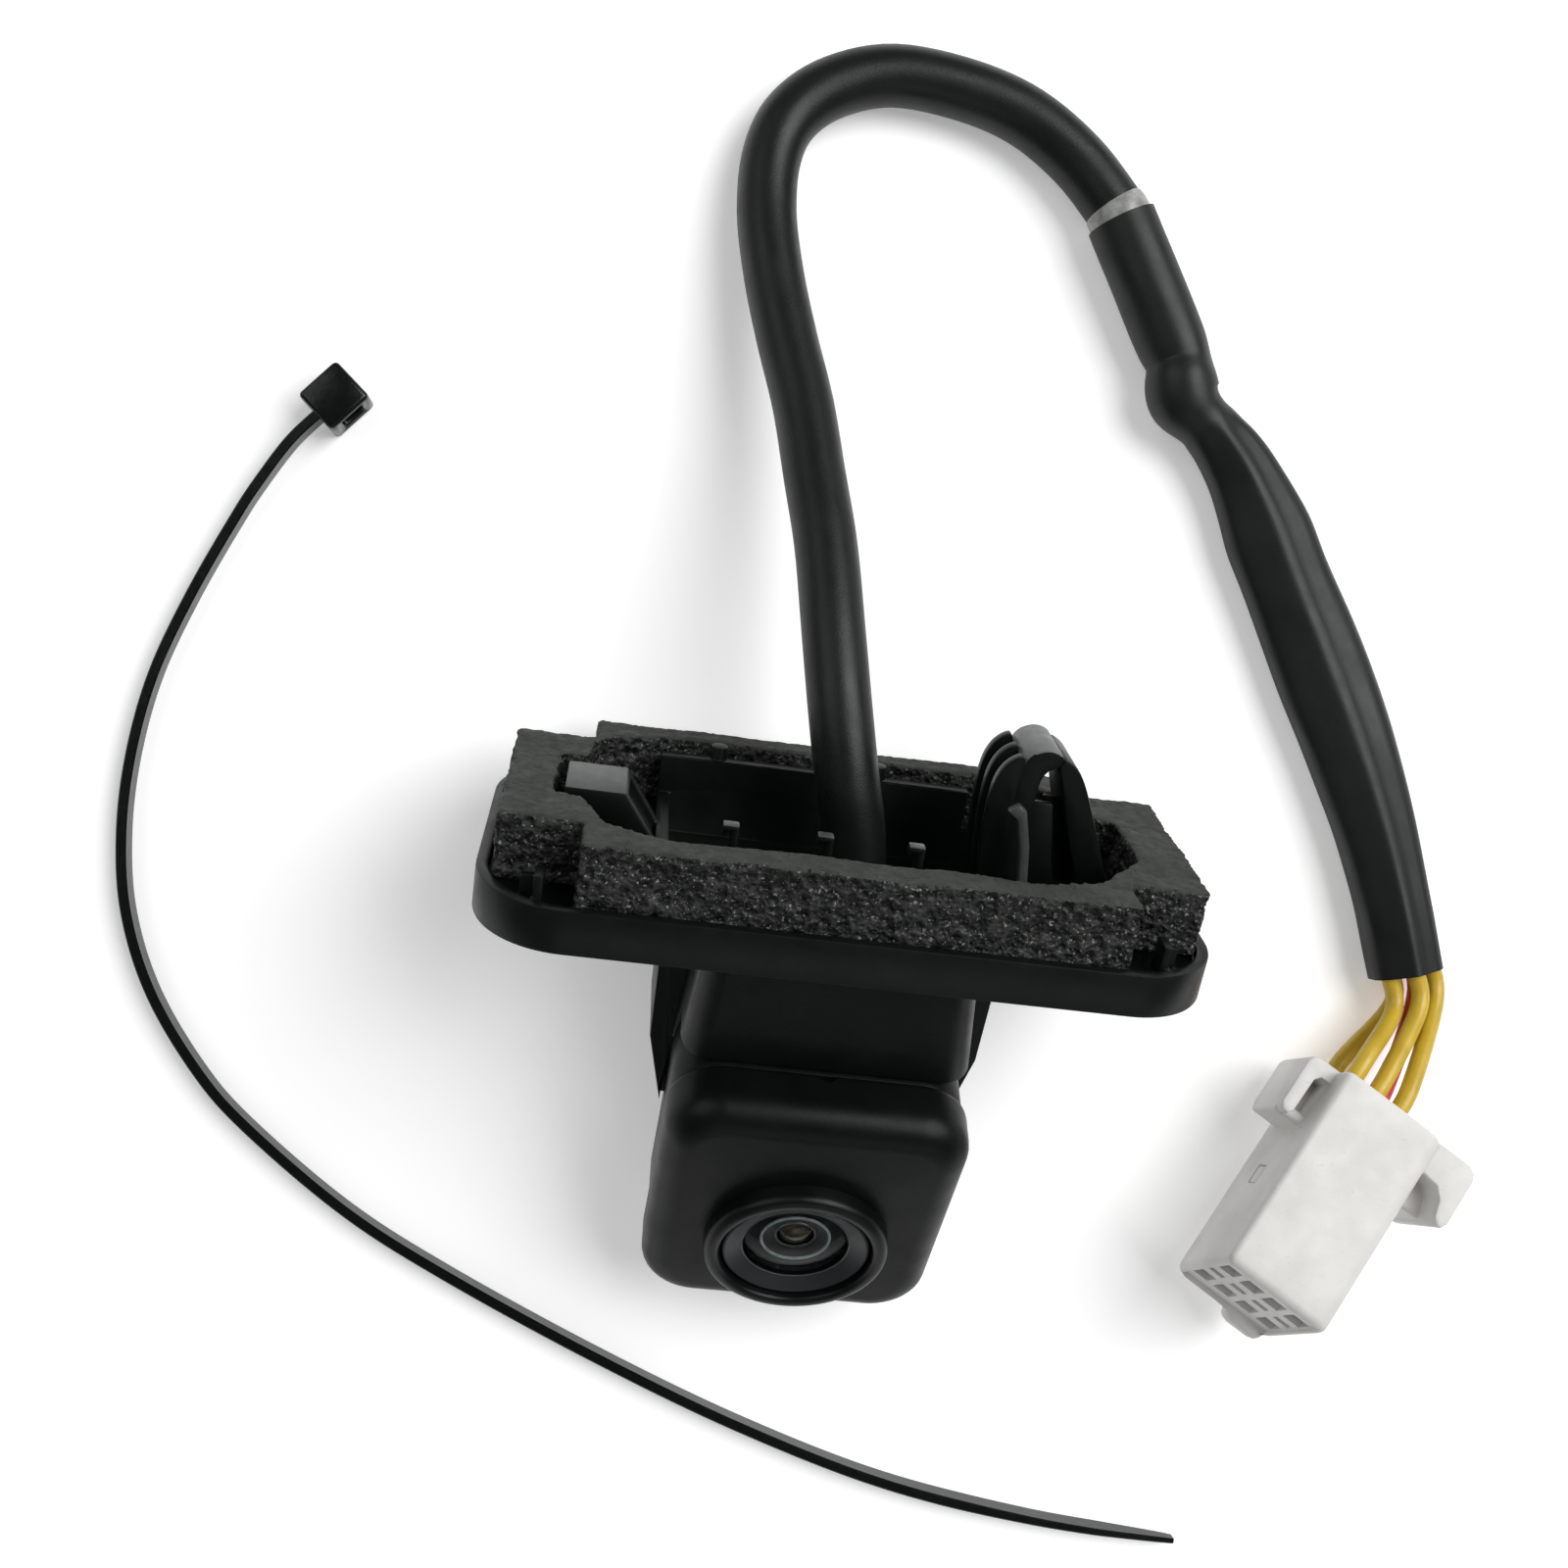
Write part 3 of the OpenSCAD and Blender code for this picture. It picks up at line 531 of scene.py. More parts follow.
ROUND = [(math.cos(a*math.pi/12), math.sin(a*math.pi/12)) for a in range(24)]
TENT = [(1, -0.15), (0.99, 0.16), (0.9, 0.4), (0.72, 0.58), (0.5, 0.74), (0.28, 0.9), (0.1, 1.0),
        (-0.06, 0.97), (-0.24, 0.86), (-0.44, 0.8), (-0.66, 0.74), (-0.84, 0.6),
        (-0.96, 0.36), (-1, 0.1), (-1, -0.2), (-0.94, -0.5), (-0.76, -0.78), (-0.5, -0.94),
        (-0.2, -1), (0.2, -1), (0.5, -0.94), (0.76, -0.8), (0.93, -0.56), (1, -0.35)]


def rise(u, start, end):
    t = max(0.0, min(1.0, (u - start)/(end - start)))
    return t*t*(3 - 2*t)


def sleeve_line(per):
    """Both sleeves' shared centreline, eased where it doubles back, with its sizes."""
    line = along(UPPER_ROUTE + LOWER_ROUTE[1:], per)
    for _ in range(per*3):
        line[1:-1] = [(a + b*2 + c)/4 for a, b, c in zip(line, line[1:], line[2:])]
    wide = values(UPPER_W[:-1] + [6.6] + LOWER_W[1:], per)
    high = values(UPPER_H[:-1] + [6.6] + LOWER_H[1:], per)
    for table in (wide, high):
        for _ in range(per):
            table[1:-1] = [(a + b*2 + c)/4 for a, b, c in zip(table, table[1:], table[2:])]
    return line, wide, high


def sleeve_rings(per, first, last):
    """Shrunk sleeve: round over the cable, drawn to a creased tent over the wires."""
    line, wide, high = sleeve_line(per)
    join = len(UPPER_ROUTE) - 1

    def shape(i):
        u = i/per
        tent = 0.15*bump_at(u, 4.6, 0.9) + 0.95*rise(u, join + 0.2, join + 1.6)
        kink = 0.04*bump_at(u, join + 0.9, 0.35) + 0.03*bump_at(u, join + 3.3, 0.4)
        kink -= 0.035*bump_at(u, join + 2.2, 0.6)
        ring = []
        for k in range(48):
            a = k/2
            one, two = ROUND[int(a) % 24], ROUND[int(a + 0.5) % 24]
            x, z = (one[0] + two[0])/2, (one[1] + two[1])/2
            lean = math.hypot(x, z)
            x, z = x/lean, z/lean
            one, two = TENT[int(a) % 24], TENT[int(a + 0.5) % 24]
            x += tent*((one[0] + two[0])/2 - x)
            z += tent*((one[1] + two[1])/2 - z)
            r = 1 + kink + 0.022*noise.noise(line[i]*0.13 + Vector((x, z, 1))*0.7)
            ring.append((x*r*wide[i]/2, z*r*high[i]/2))
        return ring

    rings = sweep_rings(line, shape)
    return rings[first*per:last*per + 1]


def hollow_end(rings, wall, depth):
    """Adds an open mouth with a wall thickness to the last ring."""
    last, before = rings[-1], rings[-2]
    centre = sum(last, Vector())/len(last)
    back = (sum(before, Vector())/len(before) - centre).normalized()
    lip = [p + (centre - p).normalized()*wall for p in last]
    inner = [p + back*depth for p in lip]
    return rings + [lip, inner]


def hollow_start(rings, wall, depth):
    return list(reversed(hollow_end(list(reversed(rings)), wall, depth)))


def bump_at(u, centre, spread):
    return math.exp(-((u - centre)/spread)**2)


def build_sleeves():
    join = len(UPPER_ROUTE) - 1
    per = 12
    upper = hollow_start(sleeve_rings(per, 0, join), 0.5, 2.5)
    lower = hollow_end(sleeve_rings(per, join, join + len(LOWER_ROUTE) - 1), 0.55, 5)
    pieces = []
    for rings, name in ((upper, "upper_sleeve"), (lower, "lower_sleeve")):
        obj = make(name + "_look", WORLD, *tube(rings))
        smooth(obj, 50)
        pieces.append(settle(obj, "camera", "sleeve_plastic", name))
    return pieces


# ---- Cable tie -------------------------------------------------------------------

TIE_ROUTE = [Vector((x, y, 0)) + KIT for x, y in [
    (-49.7, 39.5), (-52.9, 36.5), (-56, 32.5), (-58.8, 28.3), (-63.5, 19.9), (-67.3, 11.6),
    (-69.6, 3.2), (-70.6, -5.1), (-70.2, -13.4), (-67.8, -21.8), (-63.3, -30),
    (-58.2, -36.3), (-48, -45.6), (-37.6, -52.8), (-21.8, -62.2), (-5.6, -70.8),
    (10.9, -78), (27.8, -83), (44.4, -86.4)]]
STRAP_W, STRAP_T, TIE_HEAD_H = 2.5, 1.1, 5


def build_strap():
    """The strap on edge: smooth outside, rails and fine teeth on the inner side."""
    per = 30
    line = along(TIE_ROUTE, per)
    n = len(line)
    rings, run = [], 0.0
    for i, p in enumerate(line):
        t = (line[min(i + 1, n - 1)] - line[max(i - 1, 0)]).normalized()
        side = Vector((-t.y, t.x, 0))
        if i:
            run += (p - line[i - 1]).length
        u = i/per
        low = (TIE_HEAD_H - STRAP_W)/2*max(0, 1 - u/3)
        thin = 1.0 if u < 16.5 else max(0.5, 1 - (u - 16.5)*0.3)
        end = max(0, (u - 17.4)/0.6)
        half, tall, z0 = STRAP_T/2*thin, STRAP_W - 1.2*end, low + 0.6*end
        tooth = 0.0
        if 1.2 < u < 16:
            tooth = 0.1 + 0.2*((run/1.05) % 1.0)
        rail = 0.35
        profile = [(half, 0.12), (half, tall - 0.12), (half - 0.12, tall), (-half + 0.12, tall),
                   (-half, tall - 0.12), (-half, tall - rail), (-half + tooth, tall - rail - 0.04),
                   (-half + tooth, rail + 0.04), (-half, rail), (-half, 0.12),
                   (-half + 0.12, 0), (half - 0.12, 0)]
        rings.append([p + side*x + Vector((0, 0, z0 + z)) for x, z in profile])
    return tube(rings)


def build_tie():
    points, faces = build_strap()
    strap = make("tie_strap", WORLD, points, faces)
    smooth(strap, 40)
    settle(strap, "tie", "tie_nylon")
    d = TIE_ROUTE[0] - TIE_ROUTE[1]
    place = Matrix.Translation(TIE_ROUTE[0]) @ rot("Z", math.degrees(math.atan2(d.y, d.x)))
    h = TIE_HEAD_H
    body = box_mesh("tie_head", place, (-0.6, -2.55, 0), (4.8, 2.55, h))
    slot = box_mesh("tie_slot", place, (0.9, -4, (h - 2.9)/2), (3.5, 4, (h + 2.9)/2))
    cut(body, slot)
    bevel(body, 0.5, 4, 50)
    smooth(body, 40)
    settle(body, "tie", "tie_nylon")
    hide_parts("cable_tie")
    softened("tie_pawl", "tie_pawl", "tie_nylon", 0.08)


BOX_FACES = [(0, 1, 3, 2), (4, 6, 7, 5), (0, 4, 5, 1), (2, 3, 7, 6), (0, 2, 6, 4), (1, 5, 7, 3)]


def box_points(low, high):
    return [(x, y, z) for x in (low[0], high[0]) for y in (low[1], high[1]) for z in (low[2], high[2])]


def box_mesh(name, place, low, high):
    return make(name, place, box_points(low, high), BOX_FACES)


def cut(obj, *tools, how="DIFFERENCE"):
    for tool in tools:
        mod = obj.modifiers.new("cut", "BOOLEAN")
        mod.operation = how
        mod.solver = "EXACT"
        mod.object = tool
        bake(obj)
        bpy.data.objects.remove(tool)
    return obj


# ---- Foam gasket ------------------------------------------------------------------

def build_foam():
    """Cut foam: a fairly smooth skin on top, torn open cells down the sides."""
    obj = copy_of("foam_gasket", "foam_gasket_look")
    local = CAMERA.copy()
    to_local = local.inverted()
    mesh = obj.data
    mesh.transform(Matrix.Diagonal((1/MM, 1/MM, 1/MM, 1)))
    mesh.transform(to_local)
    mod = obj.modifiers.new("remesh", "REMESH")
    mod.mode = "VOXEL"
    mod.voxel_size = 0.32
    bake(obj)
    mesh = obj.data
    count = len(mesh.vertices)
    co = np.zeros(count*3)
    mesh.vertices.foreach_get("co", co)
    co = co.reshape(-1, 3)
    normals = np.zeros(count*3)
    mesh.vertices.foreach_get("normal", normals)
    normals = normals.reshape(-1, 3)
    moved = co.copy()
    for i in range(count):
        p, n = Vector(co[i]), Vector(normals[i])
        side = 1 - abs(n.z)
        near, next_near = noise.voronoi(p/0.95)[0][:2]
        pore = max(0.0, min(1.0, (next_near - near)*2.4))
        wave = noise.noise(p*0.28)*0.28 + noise.noise(p*0.9)*0.12
        top = noise.noise(p*0.12)*0.25 + noise.noise(p*1.6)*0.05 if p.z > -1 else 0.0
        depth = side*(wave - 0.34*pore) + (1 - side)*(top - 0.08*pore)
        if p.z < -FOAM_T + 0.4:
            depth = min(depth, 0.0)*0.3
        moved[i] = p + n*depth
    mesh.vertices.foreach_set("co", moved.ravel())
    mesh.update()
    mesh.materials.append(MAT["gasket_foam"])
    mesh.materials.append(MAT["foam_cells"])
    for poly in mesh.polygons:
        lying = poly.normal.z > 0.62 and poly.center.z > -1.2
        poly.material_index = 0 if lying else 1
        poly.use_smooth = True
    mesh.transform(local)
    mesh.transform(Matrix.Diagonal((MM, MM, MM, 1)))
    settle(obj, "camera", "gasket_foam", "foam_gasket")
    return obj


# ---- Camera head and lens ------------------------------------------------------------

HEAD_W, HEAD_UP, HEAD_DOWN, HEAD_R = 30, 18.5, 12.2, 5.5
COVER_FRONT, SEAM = -2, -8.4


def rounded_rect(inset, z, per=10):
    """A ring of points round the head's outline, drawn in by `inset`."""
    r = max(HEAD_R - inset*0.75, 1.2)
    w, h = HEAD_W/2 - inset - r, (HEAD_UP + HEAD_DOWN)/2 - inset - r
    middle = (HEAD_UP - HEAD_DOWN)/2
    ring = []
    for cx, cy, start in ((w, h, 0), (-w, h, 90), (-w, -h, 180), (w, -h, 270)):
        for k in range(per + 1):
            a = math.radians(start + 90*k/per)
            ring.append(Vector((cx + r*math.cos(a), middle + cy + r*math.sin(a), z)))
    return ring


def build_cover():
    """The head's front: a soft-edged shell, open at the back, with the lens opening."""
    edge = 3.1
    outside = [(0.35, SEAM), (0.08, SEAM + 0.25), (0, SEAM + 0.7), (0, COVER_FRONT - edge)]
    outside += [(edge - edge*math.cos(math.radians(a)), COVER_FRONT - edge + edge*math.sin(math.radians(a)))
                for a in range(10, 91, 8)]
    inside = [(edge + 0.4, COVER_FRONT - 1.3), (1.9, COVER_FRONT - 2.6), (1.9, SEAM)]
    rings = [rounded_rect(inset, z) for inset, z in outside + inside]
    n = len(rings[0])
    points, faces = tube(rings, False)
    last = (len(rings) - 1)*n
    faces += [(last + k, last + (k + 1) % n, (k + 1) % n, k) for k in range(n)]
    front = (len(outside) - 1)*n
    back = len(outside)*n
    faces = [f for f in faces if not (f[0] in range(front, back) and f[2] in range(back, back + n))]
    base = len(points)
    points += [Vector((7.4*p.x/h, 7.4*p.y/h, COVER_FRONT)) for p in rings[len(outside) - 1]
               for h in (math.hypot(p.x, p.y),)]
    points += [Vector((7.4*p.x/h, 7.4*p.y/h, COVER_FRONT - 1.3)) for p in rings[len(outside)]
               for h in (math.hypot(p.x, p.y),)]
    for a, b in ((front, base), (base, base + n), (base + n, back)):
        faces += [(a + k, a + (k + 1) % n, b + (k + 1) % n, b + k) for k in range(n)]
    obj = make("front_cover_look", HEAD, points, faces)
    notch = make("notch", HEAD @ Matrix.Translation((0, HEAD_UP + 0.1, SEAM)), *ball(1.1))
    cut(obj, notch)
    smooth(obj, 40)
    return settle(obj, "camera", "head_plastic", "front_cover")


def ball(radius):
    rings = [[Vector((radius*math.sin(a)*math.cos(b), radius*math.sin(a)*math.sin(b), radius*math.cos(a)))
              for b in (2*math.pi*k/24 for k in range(24))]
             for a in (math.radians(t) for t in range(3, 178, 12))]
    return tube(rings)


def lathe(name, profile, materials, tags=None, sides=96):
    """A turned piece in the head's frame from a closed (radius, height) outline."""
    n = len(profile)
    points, faces, marks = [], [], []
    for k in range(sides):
        a = 2*math.pi*k/sides
        points += [Vector((r*math.cos(a), r*math.sin(a), z)) for r, z in profile]
        m = (k + 1) % sides
        for i in range(n):
            j = (i + 1) % n
            if profile[i][0] < 0.01 and profile[j][0] < 0.01:
                continue
            faces.append((k*n + i, k*n + j, m*n + j, m*n + i))
            marks.append(tags[i] if tags else 0)
    obj = make(name, HEAD, points, faces, materials, marks)
    bm = bmesh.new()
    bm.from_mesh(obj.data)
    bmesh.ops.remove_doubles(bm, verts=bm.verts, dist=1e-6)
    bmesh.ops.recalc_face_normals(bm, faces=bm.faces)
    bm.to_mesh(obj.data)
    bm.free()
    smooth(obj, 35)
    return obj


def arc(cx, cz, r, start, end, steps):
    return [(cx + r*math.cos(math.radians(start + (end - start)*i/steps)),
             cz + r*math.sin(math.radians(start + (end - start)*i/steps))) for i in range(steps + 1)]


def build_lens():
    """Rounded outer ring, dark gap, grey cone, then the domed front glass and its well."""
    ring = [(7.2, -2.3), (9.3, -2.3)] + arc(8.45, -0.85, 0.85, 0, 90, 6) + arc(8.2, -0.5, 0.5, 90, 180, 4)
    ring += [(7.7, -1.1)]
    obj = lathe("lens_ring_look", ring, ("lens_ring",))
    settle(obj, "camera", "lens_ring")
    cone = [(7.5, -2.6), (7.5, -0.95), (7.3, -0.75), (7.1, -0.72), (5.56, -1.5), (5.46, -1.44),
            (5.36, -1.52), (5.33, -2.6)]
    # Tag 2 draws the cone's thin lip in a lighter grey: a painted glint.
    tags = [1, 1, 1, 0, 2, 2, 1, 1]
    obj = lathe("lens_cone_look", cone, ("lens_cone", "lens_ring", "lens_rim_painted_glint"), tags)
    settle(obj, "camera", "lens_ring", "lens_barrel")
    dome = [(12*math.sin(math.radians(a)), -12.55 + 12*math.cos(math.radians(a))) for a in range(0, 27, 2)]
    under = [(r, z - 0.3) for r, z in reversed(dome)]
    obj = lathe("front_lens_look", dome + under, ("lens_glass",))
    settle(obj, "camera", "lens_glass", "front_lens")
    well = [(5.3, -2.5), (3.6, -2.36), (3.52, -2.2), (3.36, -2.2), (3.3, -2.36), (2.12, -2.75),
            (2.06, -2.66), (1.94, -2.66), (1.9, -2.8), (1.9, -4.4), (5.3, -4.4)]
    # Tags 2 and 3 draw the well's thin lips in lighter greys: painted glints.
    tags = [0, 2, 2, 2, 1, 3, 3, 3, 0, 0, 0]
    obj = lathe("lens_spacer_look", well, ("lens_black", "lens_brown", "lens_edge_painted_glint", "lens_rim_painted_glint"), tags)
    settle(obj, "camera", "lens_ring", "lens_spacer")
    inner = [(0, -2.3), (0.4, -2.33), (0.8, -2.42), (1.15, -2.56), (1.5, -2.76), (1.75, -2.98),
             (1.86, -3.2), (1.86, -5), (0, -5)]
    obj = lathe("middle_lens_look", inner, ("lens_amber",))
    settle(obj, "camera", "lens_glass", "middle_lens")


# ---- Snap clip -------------------------------------------------------------------------

STEM = [(15, -9.8), (14.95, -4), (14.9, 2), (14.85, 5.6), (15.1, 7.8), (15.8, 9.2), (17, 9.85),
        (18.1, 9.85), (18.95, 9.35), (18.85, 8.5), (18.2, 8), (17.6, 7.5), (17.15, 6.2),
        (17, 2), (17, -4), (17, -9.8)]
LEG = [(19.3, 9.1), (20.2, 8.6), (21, 7.8), (22.05, 6), (23.75, 2.2), (25.3, -1.4), (26.2, -3.6),
       (26, -4.5), (25, -5.2), (23.8, -5.6), (23.15, -5.2), (22.8, -3), (21.6, 0),
       (20.4, 3.4), (19.5, 6.2), (18.85, 8), (18.9, 8.7)]
FIN = [(15, -6), (13.9, -5.4), (13.1, -4.4), (12.7, -1), (12.5, 2.6), (12.65, 5.6), (13.2, 7.4),
       (14.1, 8.5), (15, 8.9), (15.3, 8)]
STEM_WEB = [(16.8, -9), (16.8, 4.3), (19, 4.3), (19.5, 2), (20.1, -1.5), (20.8, -4), (20.8, -9)]
LEG_WEB = [(23, -4.6), (22.4, -2), (21.6, 0.6), (20.4, 3.6), (20, 4.4), (18.4, 4.4), (18.9, 1.8),
           (20, -2), (20.6, -4.4)]
CLIP_Y = (-4, 3.6)


def prism(name, outline, y0, y1, per=4):
    """A prism across the plate's width from an outline in length and height."""
    shape = along([Vector((x, z, 0)) for x, z in outline], per)
    n = len(shape)
    points = [(p.x, y, p.y) for y in (y0, y1) for p in shape]
    faces = [tuple(range(n)), tuple(range(n, 2*n))]
    faces += [(k, (k + 1) % n, n + (k + 1) % n, n + k) for k in range(n)]
    return make(name, CAMERA, points, faces)


def build_clip():
    """The sprung clip: a bowed stem with three fins behind it and the free leg in front."""
    parts = [("clip_stem", STEM, *CLIP_Y, "camera")]
    parts += [("clip_fin_%d" % i, FIN, y, y + 1.2, "camera") for i, y in enumerate((-4, -0.8, 2.4))]
    parts += [("snap_leg_look", LEG, *CLIP_Y, "snap_leg")]
    webs = [("clip_web", STEM_WEB, -3.6, -2.8, "camera"), ("leg_web", LEG_WEB, -1.9, -1.1, "snap_leg")]
    pieces = [(prism(name, outline, y0, y1), name, body) for name, outline, y0, y1, body in parts]
    pieces += [(prism(name, outline, y0, y1, 1), name, body) for name, outline, y0, y1, body in webs]
    for obj, name, body in pieces:
        bevel(obj, 0.16, 2, 50)
        smooth(obj, 35)
        obj.data.materials.append(MAT["bezel_plastic"])
        obj.data.materials.append(MAT["bezel_painted_sheen"])
        up = CAMERA.to_3x3() @ Vector((0, 0, 1))
        # Upward faces on the stem's crown take the lighter copy: a painted sheen standing for the floor's
        # reflection.
        for poly in obj.data.polygons:
            crown = (CAMERA.inverted() @ (poly.center/MM)).z > 7.4
            poly.material_index = int(crown and name == "clip_stem" and poly.normal.dot(up) > 0.3)
        settle(obj, body, "bezel_plastic")
        if name == "snap_leg_look":
            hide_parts("snap_leg")


def build_bezel():
    """The bezel without the clip's own faceted arch, which build_clip() draws smooth."""
    obj = copy_of("bezel_plate", "bezel_plate_look")
    tool = box_mesh("clip_space", CAMERA, (12, -4.4, -5.6), (19.6, 4, 12))
    cut(obj, tool)
    bevel(obj, 0.22, 2, 38)
    smooth(obj)
    obj.data.materials.append(MAT["bezel_plastic"])
    obj.data.materials.append(MAT["bezel_painted_reflection"])
    to_local = CAMERA.inverted()
    up = CAMERA.to_3x3() @ Vector((0, 0, 1))
    # Upward hook tops and guide post tips, and the whole clip bracket, take the lighter grey: painted
    # reflection.
    for poly in obj.data.polygons:
        p = to_local @ (poly.center/MM)
        hook_top = p.x < -17 and p.z > -3.5 and abs(p.y) < 3.7 and poly.normal.dot(up) > 0.8
        post_top = p.z > -0.7 and -10 < p.y < -8 and poly.normal.dot(up) > 0.5
        bracket = -7.6 < p.y < -6 and 13.6 < p.x < 17.4 and -9.2 < p.z < 5.6
        poly.material_index = int(hook_top or post_top or bracket)
    return settle(obj, "camera", "bezel_plastic", "bezel_plate")


# ---- Connector ---------------------------------------------------------------------------

def plug_ring(inset, y):
    """A ring round the housing: one well rounded long edge, the others tighter."""
    ring = []
    half = PLUG_W/2 - inset
    for sx, sz, r, start in ((1, 1, 0.7, 0), (-1, 1, 1.9, 90), (-1, 0, 1.6, 180), (1, 0, 2.0, 270)):
        r = max(0.3, r - inset*0.5)
        cx = sx*(half - r)
        cz = PLUG_H - inset - r if sz else inset + r
        for k in range(7):
            a = math.radians(start + 15*k)
            ring.append(Vector((cx + r*math.cos(a), y, cz + r*math.sin(a))))
    return ring


def raked(p):
    """The nose is raked: its lower edge stands further out than its upper edge."""
    share = rise(p[1], 19, 23.5)
    return Vector((p[0], p[1] + share*(0.2 - 0.17*(p[2] - PLUG_H/2)), p[2]))


def plug_body():
    ends = []
    for r, y0, way in ((0.7, 0, 1), (0.9, PLUG_L, -1)):
        end = [(r - r*math.sin(math.radians(a)), y0 + way*(r - r*math.cos(math.radians(a))))
               for a in range(0, 91, 15)]
        ends.append(end)
    between = [(0, y) for y in (8, 16, 19, 20.5, 22, 23.5)]
    steps = ends[0] + between + ends[1][::-1]
    rings = [[raked(p) for p in plug_ring(inset, y)] for inset, y in steps]
    return make("plug_housing_look", PLUG, *tube(rings))


def upright(name, outline, z0, z1):
    """A prism up the housing from an outline in its width and length."""
    n = len(outline)
    points = [(x, y, z) for z in (z0, z1) for x, y in outline]
    faces = [tuple(range(n)), tuple(range(n, 2*n))]
    faces += [(k, (k + 1) % n, n + (k + 1) % n, n + k) for k in range(n)]
    return make(name, PLUG, points, faces)


def rounded_box(name, low, high, r, segments=3):
    return bevel(box_mesh(name, PLUG, low, high), r, segments, 50)


def build_plug():
    """The housing with its guards, lug, recess and ways, then shade plates, retainer and lock."""
    side = PLUG_W/2
    body = plug_body()
    wing = [(-side + 1, 0.15), (-side - 3.9, 0.15), (-side - 4.7, 0.6), (-side - 5, 1.5),
            (-side - 5, 6.9), (-side - 4.6, 7.7), (-side - 4, 7.8), (-side - 3.4, 7.1),
            (-side - 2.9, 5.3), (-side - 1.9, 4.2), (-side + 1, 3.9)]
    guard = [(side - 1, 0.15), (side + 2.4, 0.15), (side + 3.1, 0.5), (side + 3.4, 1.2),
             (side + 3.4, 6.6), (side + 3, 7.4), (side + 2.2, 7.4), (side + 1.8, 6.8),
             (side + 1.7, 2.6), (side + 1.2, 2), (side - 1, 1.9)]
    for name, outline, z0, z1 in (("plug_wing", wing, 2.6, 13), ("plug_guard", guard, 3, 11.6)):
        cut(body, bevel(upright(name, outline, z0, z1), 0.3, 2, 60), how="UNION")
    adds = [((side - 0.6, 6.1, 3), (side + 3.3, 7.5, 10.2), 0.5),
            ((side - 0.6, 0.4, 3), (side + 3.2, 7.4, 7.4), 0.4),
            ((-side - 4.6, 3.4, 2.7), (-side + 1, 7.5, 9.2), 0.5),
            ((-side + 0.5, 21.5, -1.9), (-0.9, 27.7, 1.3), 1.2),
            ((-3.6, 9.4, -1.8), (-2.8, 12.8, 0.6), 0.15),
            ((2.8, 9.4, -1.8), (3.6, 12.8, 0.6), 0.15)]
    for k, (low, high, r) in enumerate(adds):
        cut(body, rounded_box("plug_add_%d" % k, low, high, r), how="UNION")
    recess = box_points((-side + 0.9, PLUG_L - 0.5, 0.9), (side - 0.9, PLUG_L + 3, PLUG_H - 0.9))
    nose = [raked(p) for p in recess]
    cuts = [make("plug_nose", PLUG, nose, BOX_FACES)]
    angles = [math.pi*t/12 for t in range(24)]
    for k, (x, z) in enumerate(WAYS):
        rings = [[Vector((x + WIRE_HOLE_R*math.cos(a), y, z + WIRE_HOLE_R*math.sin(a))) for a in angles]
                 for y in (-2, 4)]
        cuts.append(make("plug_hole_%d" % k, PLUG, *tube(rings)))
    cuts.append(box_mesh("plug_slot", PLUG, (-side - 2, 12.6, 6.05), (side + 2, 15, 8.15)))
    cut(body, *cuts)
    bevel(body, 0.14, 2, 50)
    ways = [((x - 1.05, 3, z - 1.2), (x + 1.05, PLUG_L + 3, z + 1.2)) for x, z in WAYS]
    ways += [((x - 0.95, PLUG_L - 1.9, 6.6), (x + 0.95, PLUG_L + 3, 7.6)) for x, z in WAYS[:4]]
    for k, (low, high) in enumerate(ways):
        cut(body, box_mesh("plug_way_%d" % k, PLUG, low, high))
    bm = bmesh.new()
    bm.from_mesh(body.data)
    bmesh.ops.triangulate(bm, faces=bm.faces)
    bm.to_mesh(body.data)
    bm.free()
    smooth(body, 40)
    settle(body, "camera", "plug_nylon", "plug_housing")
    # Dark plates a little inside each way: painted shade standing for the slots' dark depth.
    shades = [[raked(p) for p in box_points((x - 1.04, PLUG_L - 1.8, z - 1.19),
                                            (x + 1.04, PLUG_L - 1.6, z + 1.19))] for x, z in WAYS]
    shade_plates = make("plug_ways_painted_shade", PLUG, [p for s in shades for p in s],
                         [tuple(8*k + i for i in f) for k in range(len(shades)) for f in BOX_FACES])
    settle(shade_plates, "camera", "plug_nylon")
    shade_plates.data.materials[0] = MAT["way_painted_shade"]
    retainer = rounded_box("plug_retainer_look", (-side - 0.1, 12.7, 6.15),
                           (side - 0.05, 14.9, 8.05), 0.2)
    smooth(retainer, 40)
    settle(retainer, "plug_retainer", "plug_nylon", "plug_retainer")
    bar = rounded_box("plug_lock_look", (-2.6, 10.4, -2.2), (2.6, 24.6, -1.1), 0.25)
    cut(bar, rounded_box("plug_lug", (-2.6, 22.6, -4.2), (2.6, 25.2, -1.2), 0.8), how="UNION")
    smooth(bar, 40)
    settle(bar, "plug_lock", "plug_nylon", "plug_lock")
    return body, retainer, bar


# ---- Build ---------------------------------------------------------------------------

cable, centreline = build_cord()
tape = build_tape()
sleeves = build_sleeves()
build_foam()
build_bezel()
build_clip()
build_cover()
build_lens()
softened("rear_case", "camera", "head_plastic", 0.3)
housing, retainer, lock = build_plug()
build_tie()

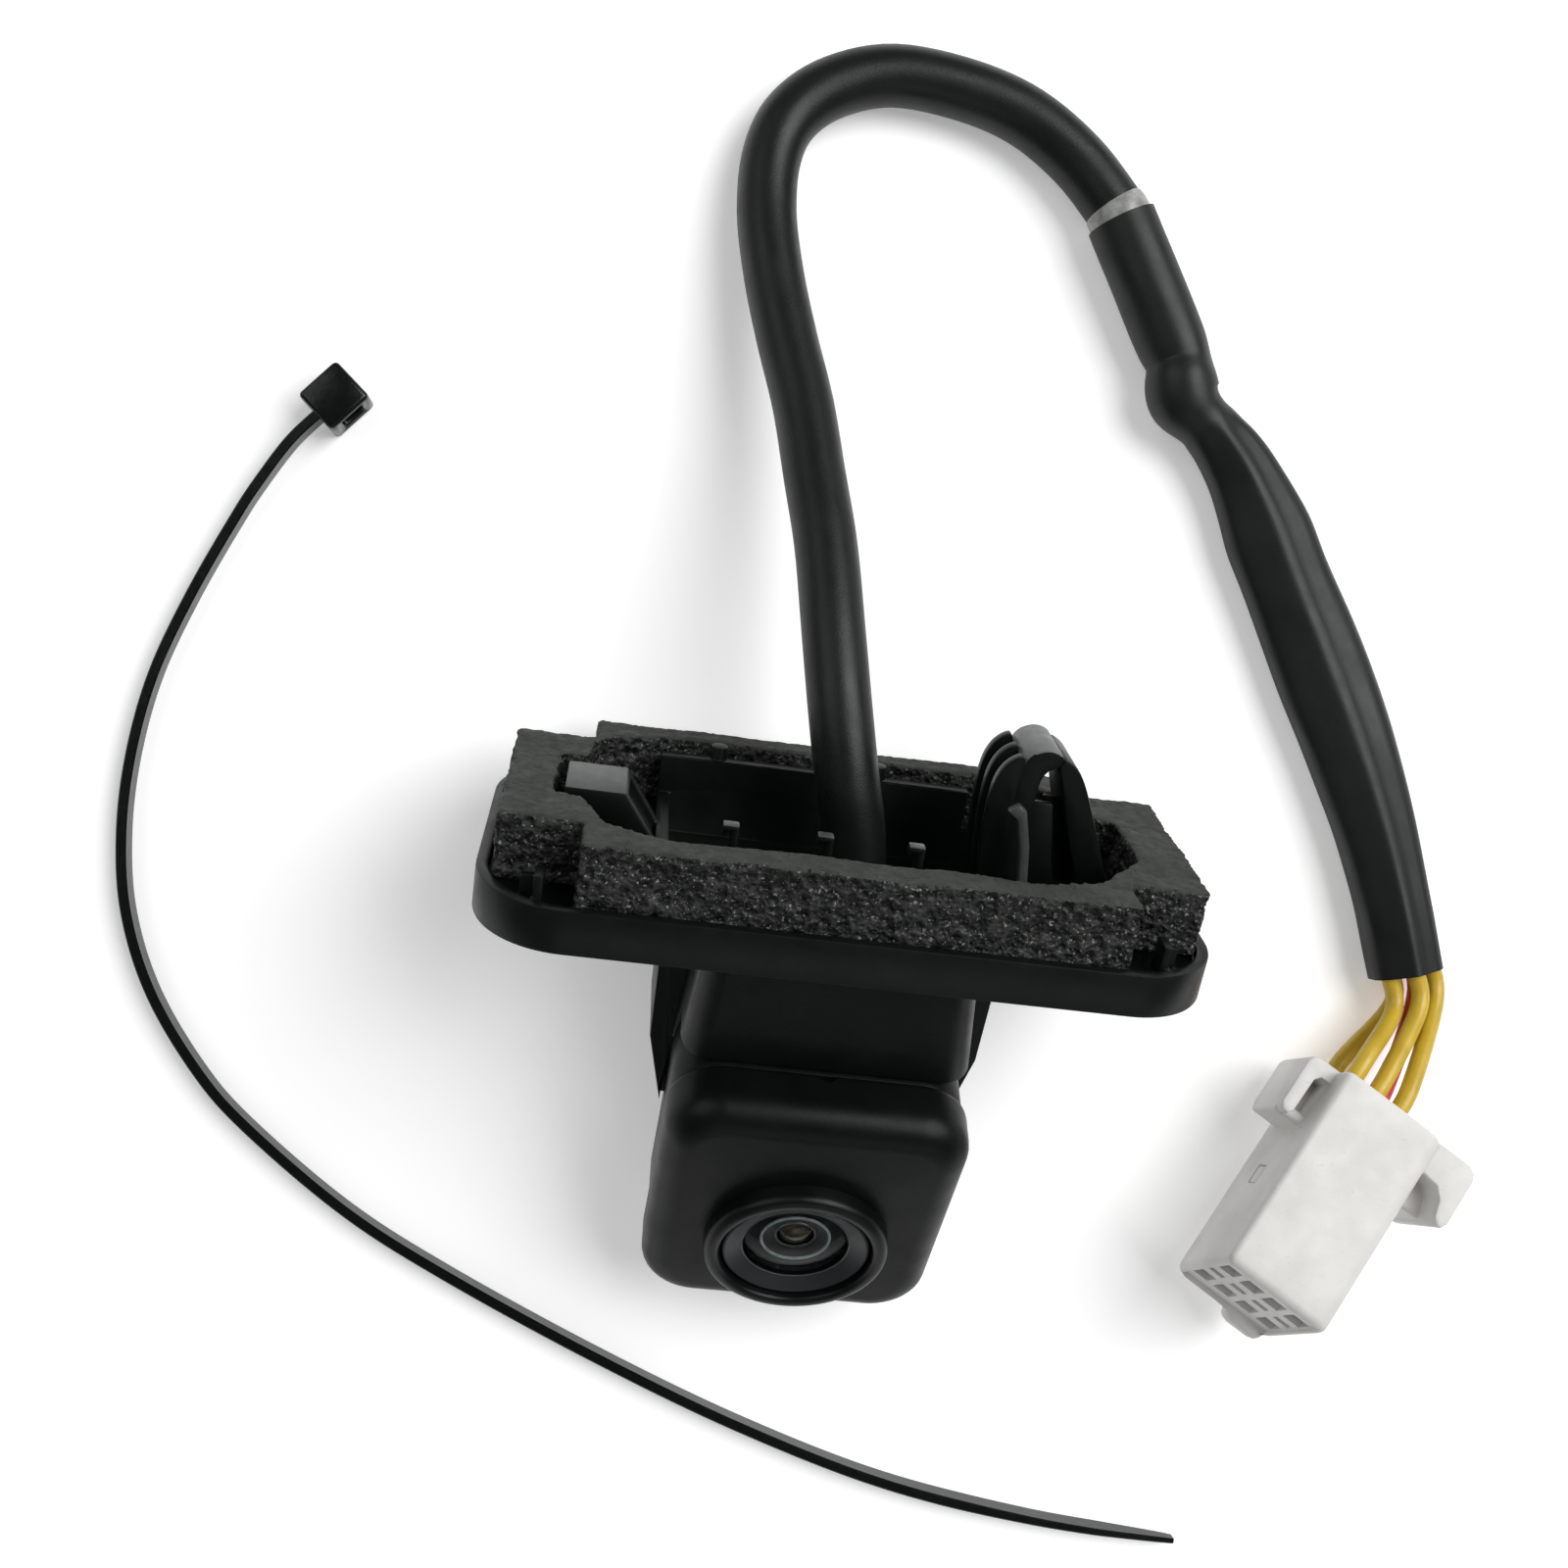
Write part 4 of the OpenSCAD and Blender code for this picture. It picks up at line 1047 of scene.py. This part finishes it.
shown_cad = {
    "case_seal": "seal_rubber", "case_screws": "screw_steel", "bracket_screws": "screw_steel",
    "rear_lens": "lens_glass", "filter_glass": "filter_glass", "barrel_seal": "seal_rubber",
    "image_sensor": "chip_black", "sensor_board": "board_green", "main_board": "board_green",
    "board_link": "link_plastic", "board_parts": "chip_black", "cable_grommet": "cable_rubber",
    "plug_terminals": "terminal_metal",
}
for node, material in shown_cad.items():
    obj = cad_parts[node]
    obj.data.materials.clear()
    obj.data.materials.append(MAT[material])


# ---- Stage -----------------------------------------------------------------------------

def add_light(name, place, aim, size, power, colour=(1, 1, 1)):
    data = bpy.data.lights.new(name, "AREA")
    data.shape = "RECTANGLE"
    data.size, data.size_y = size
    data.energy = power
    data.color = colour
    light = bpy.data.objects.new(name, data)
    bpy.context.scene.collection.objects.link(light)
    light.location = place
    light.rotation_euler = (Vector(aim) - Vector(place)).to_track_quat("-Z", "Y").to_euler()


def add_stage():
    s = Shader("floor", Roughness=0.9, Specular_IOR_Level=0.1, Emission_Strength=0.3)
    s.bsdf.inputs["Emission Color"].default_value = (1, 1, 1, 1)
    s.colour(s.ramp(s.noise(60, 3), [(0.3, (0.9, 0.9, 0.9)), (0.7, (0.92, 0.92, 0.92))]))
    mesh = bpy.data.meshes.new("floor")
    r = 3.0
    mesh.from_pydata([(-r, -r, 0), (r, -r, 0), (r, r, 0), (-r, r, 0)], [], [(0, 1, 2, 3)])
    mesh.materials.append(s.mat)
    link_object("floor", mesh)
    world = bpy.data.worlds.new("world")
    world.use_nodes = True
    back = world.node_tree.nodes["Background"]
    back.inputs["Color"].default_value = (1, 1, 1, 1)
    back.inputs["Strength"].default_value = 0.12
    bpy.context.scene.world = world
    add_light("key", (0.4, 0.2, 0.54), (0.02, 0, 0), (0.5, 0.5), 4.7)
    add_light("fill", (-0.5, 0.3, 0.6), (0, 0, 0), (0.6, 0.6), 1.5)
    add_light("front", (0.1, -0.6, 0.45), (0, 0, 0), (0.6, 0.4), 0.5)


add_stage()
bpy.context.scene.view_settings.view_transform = "Standard"
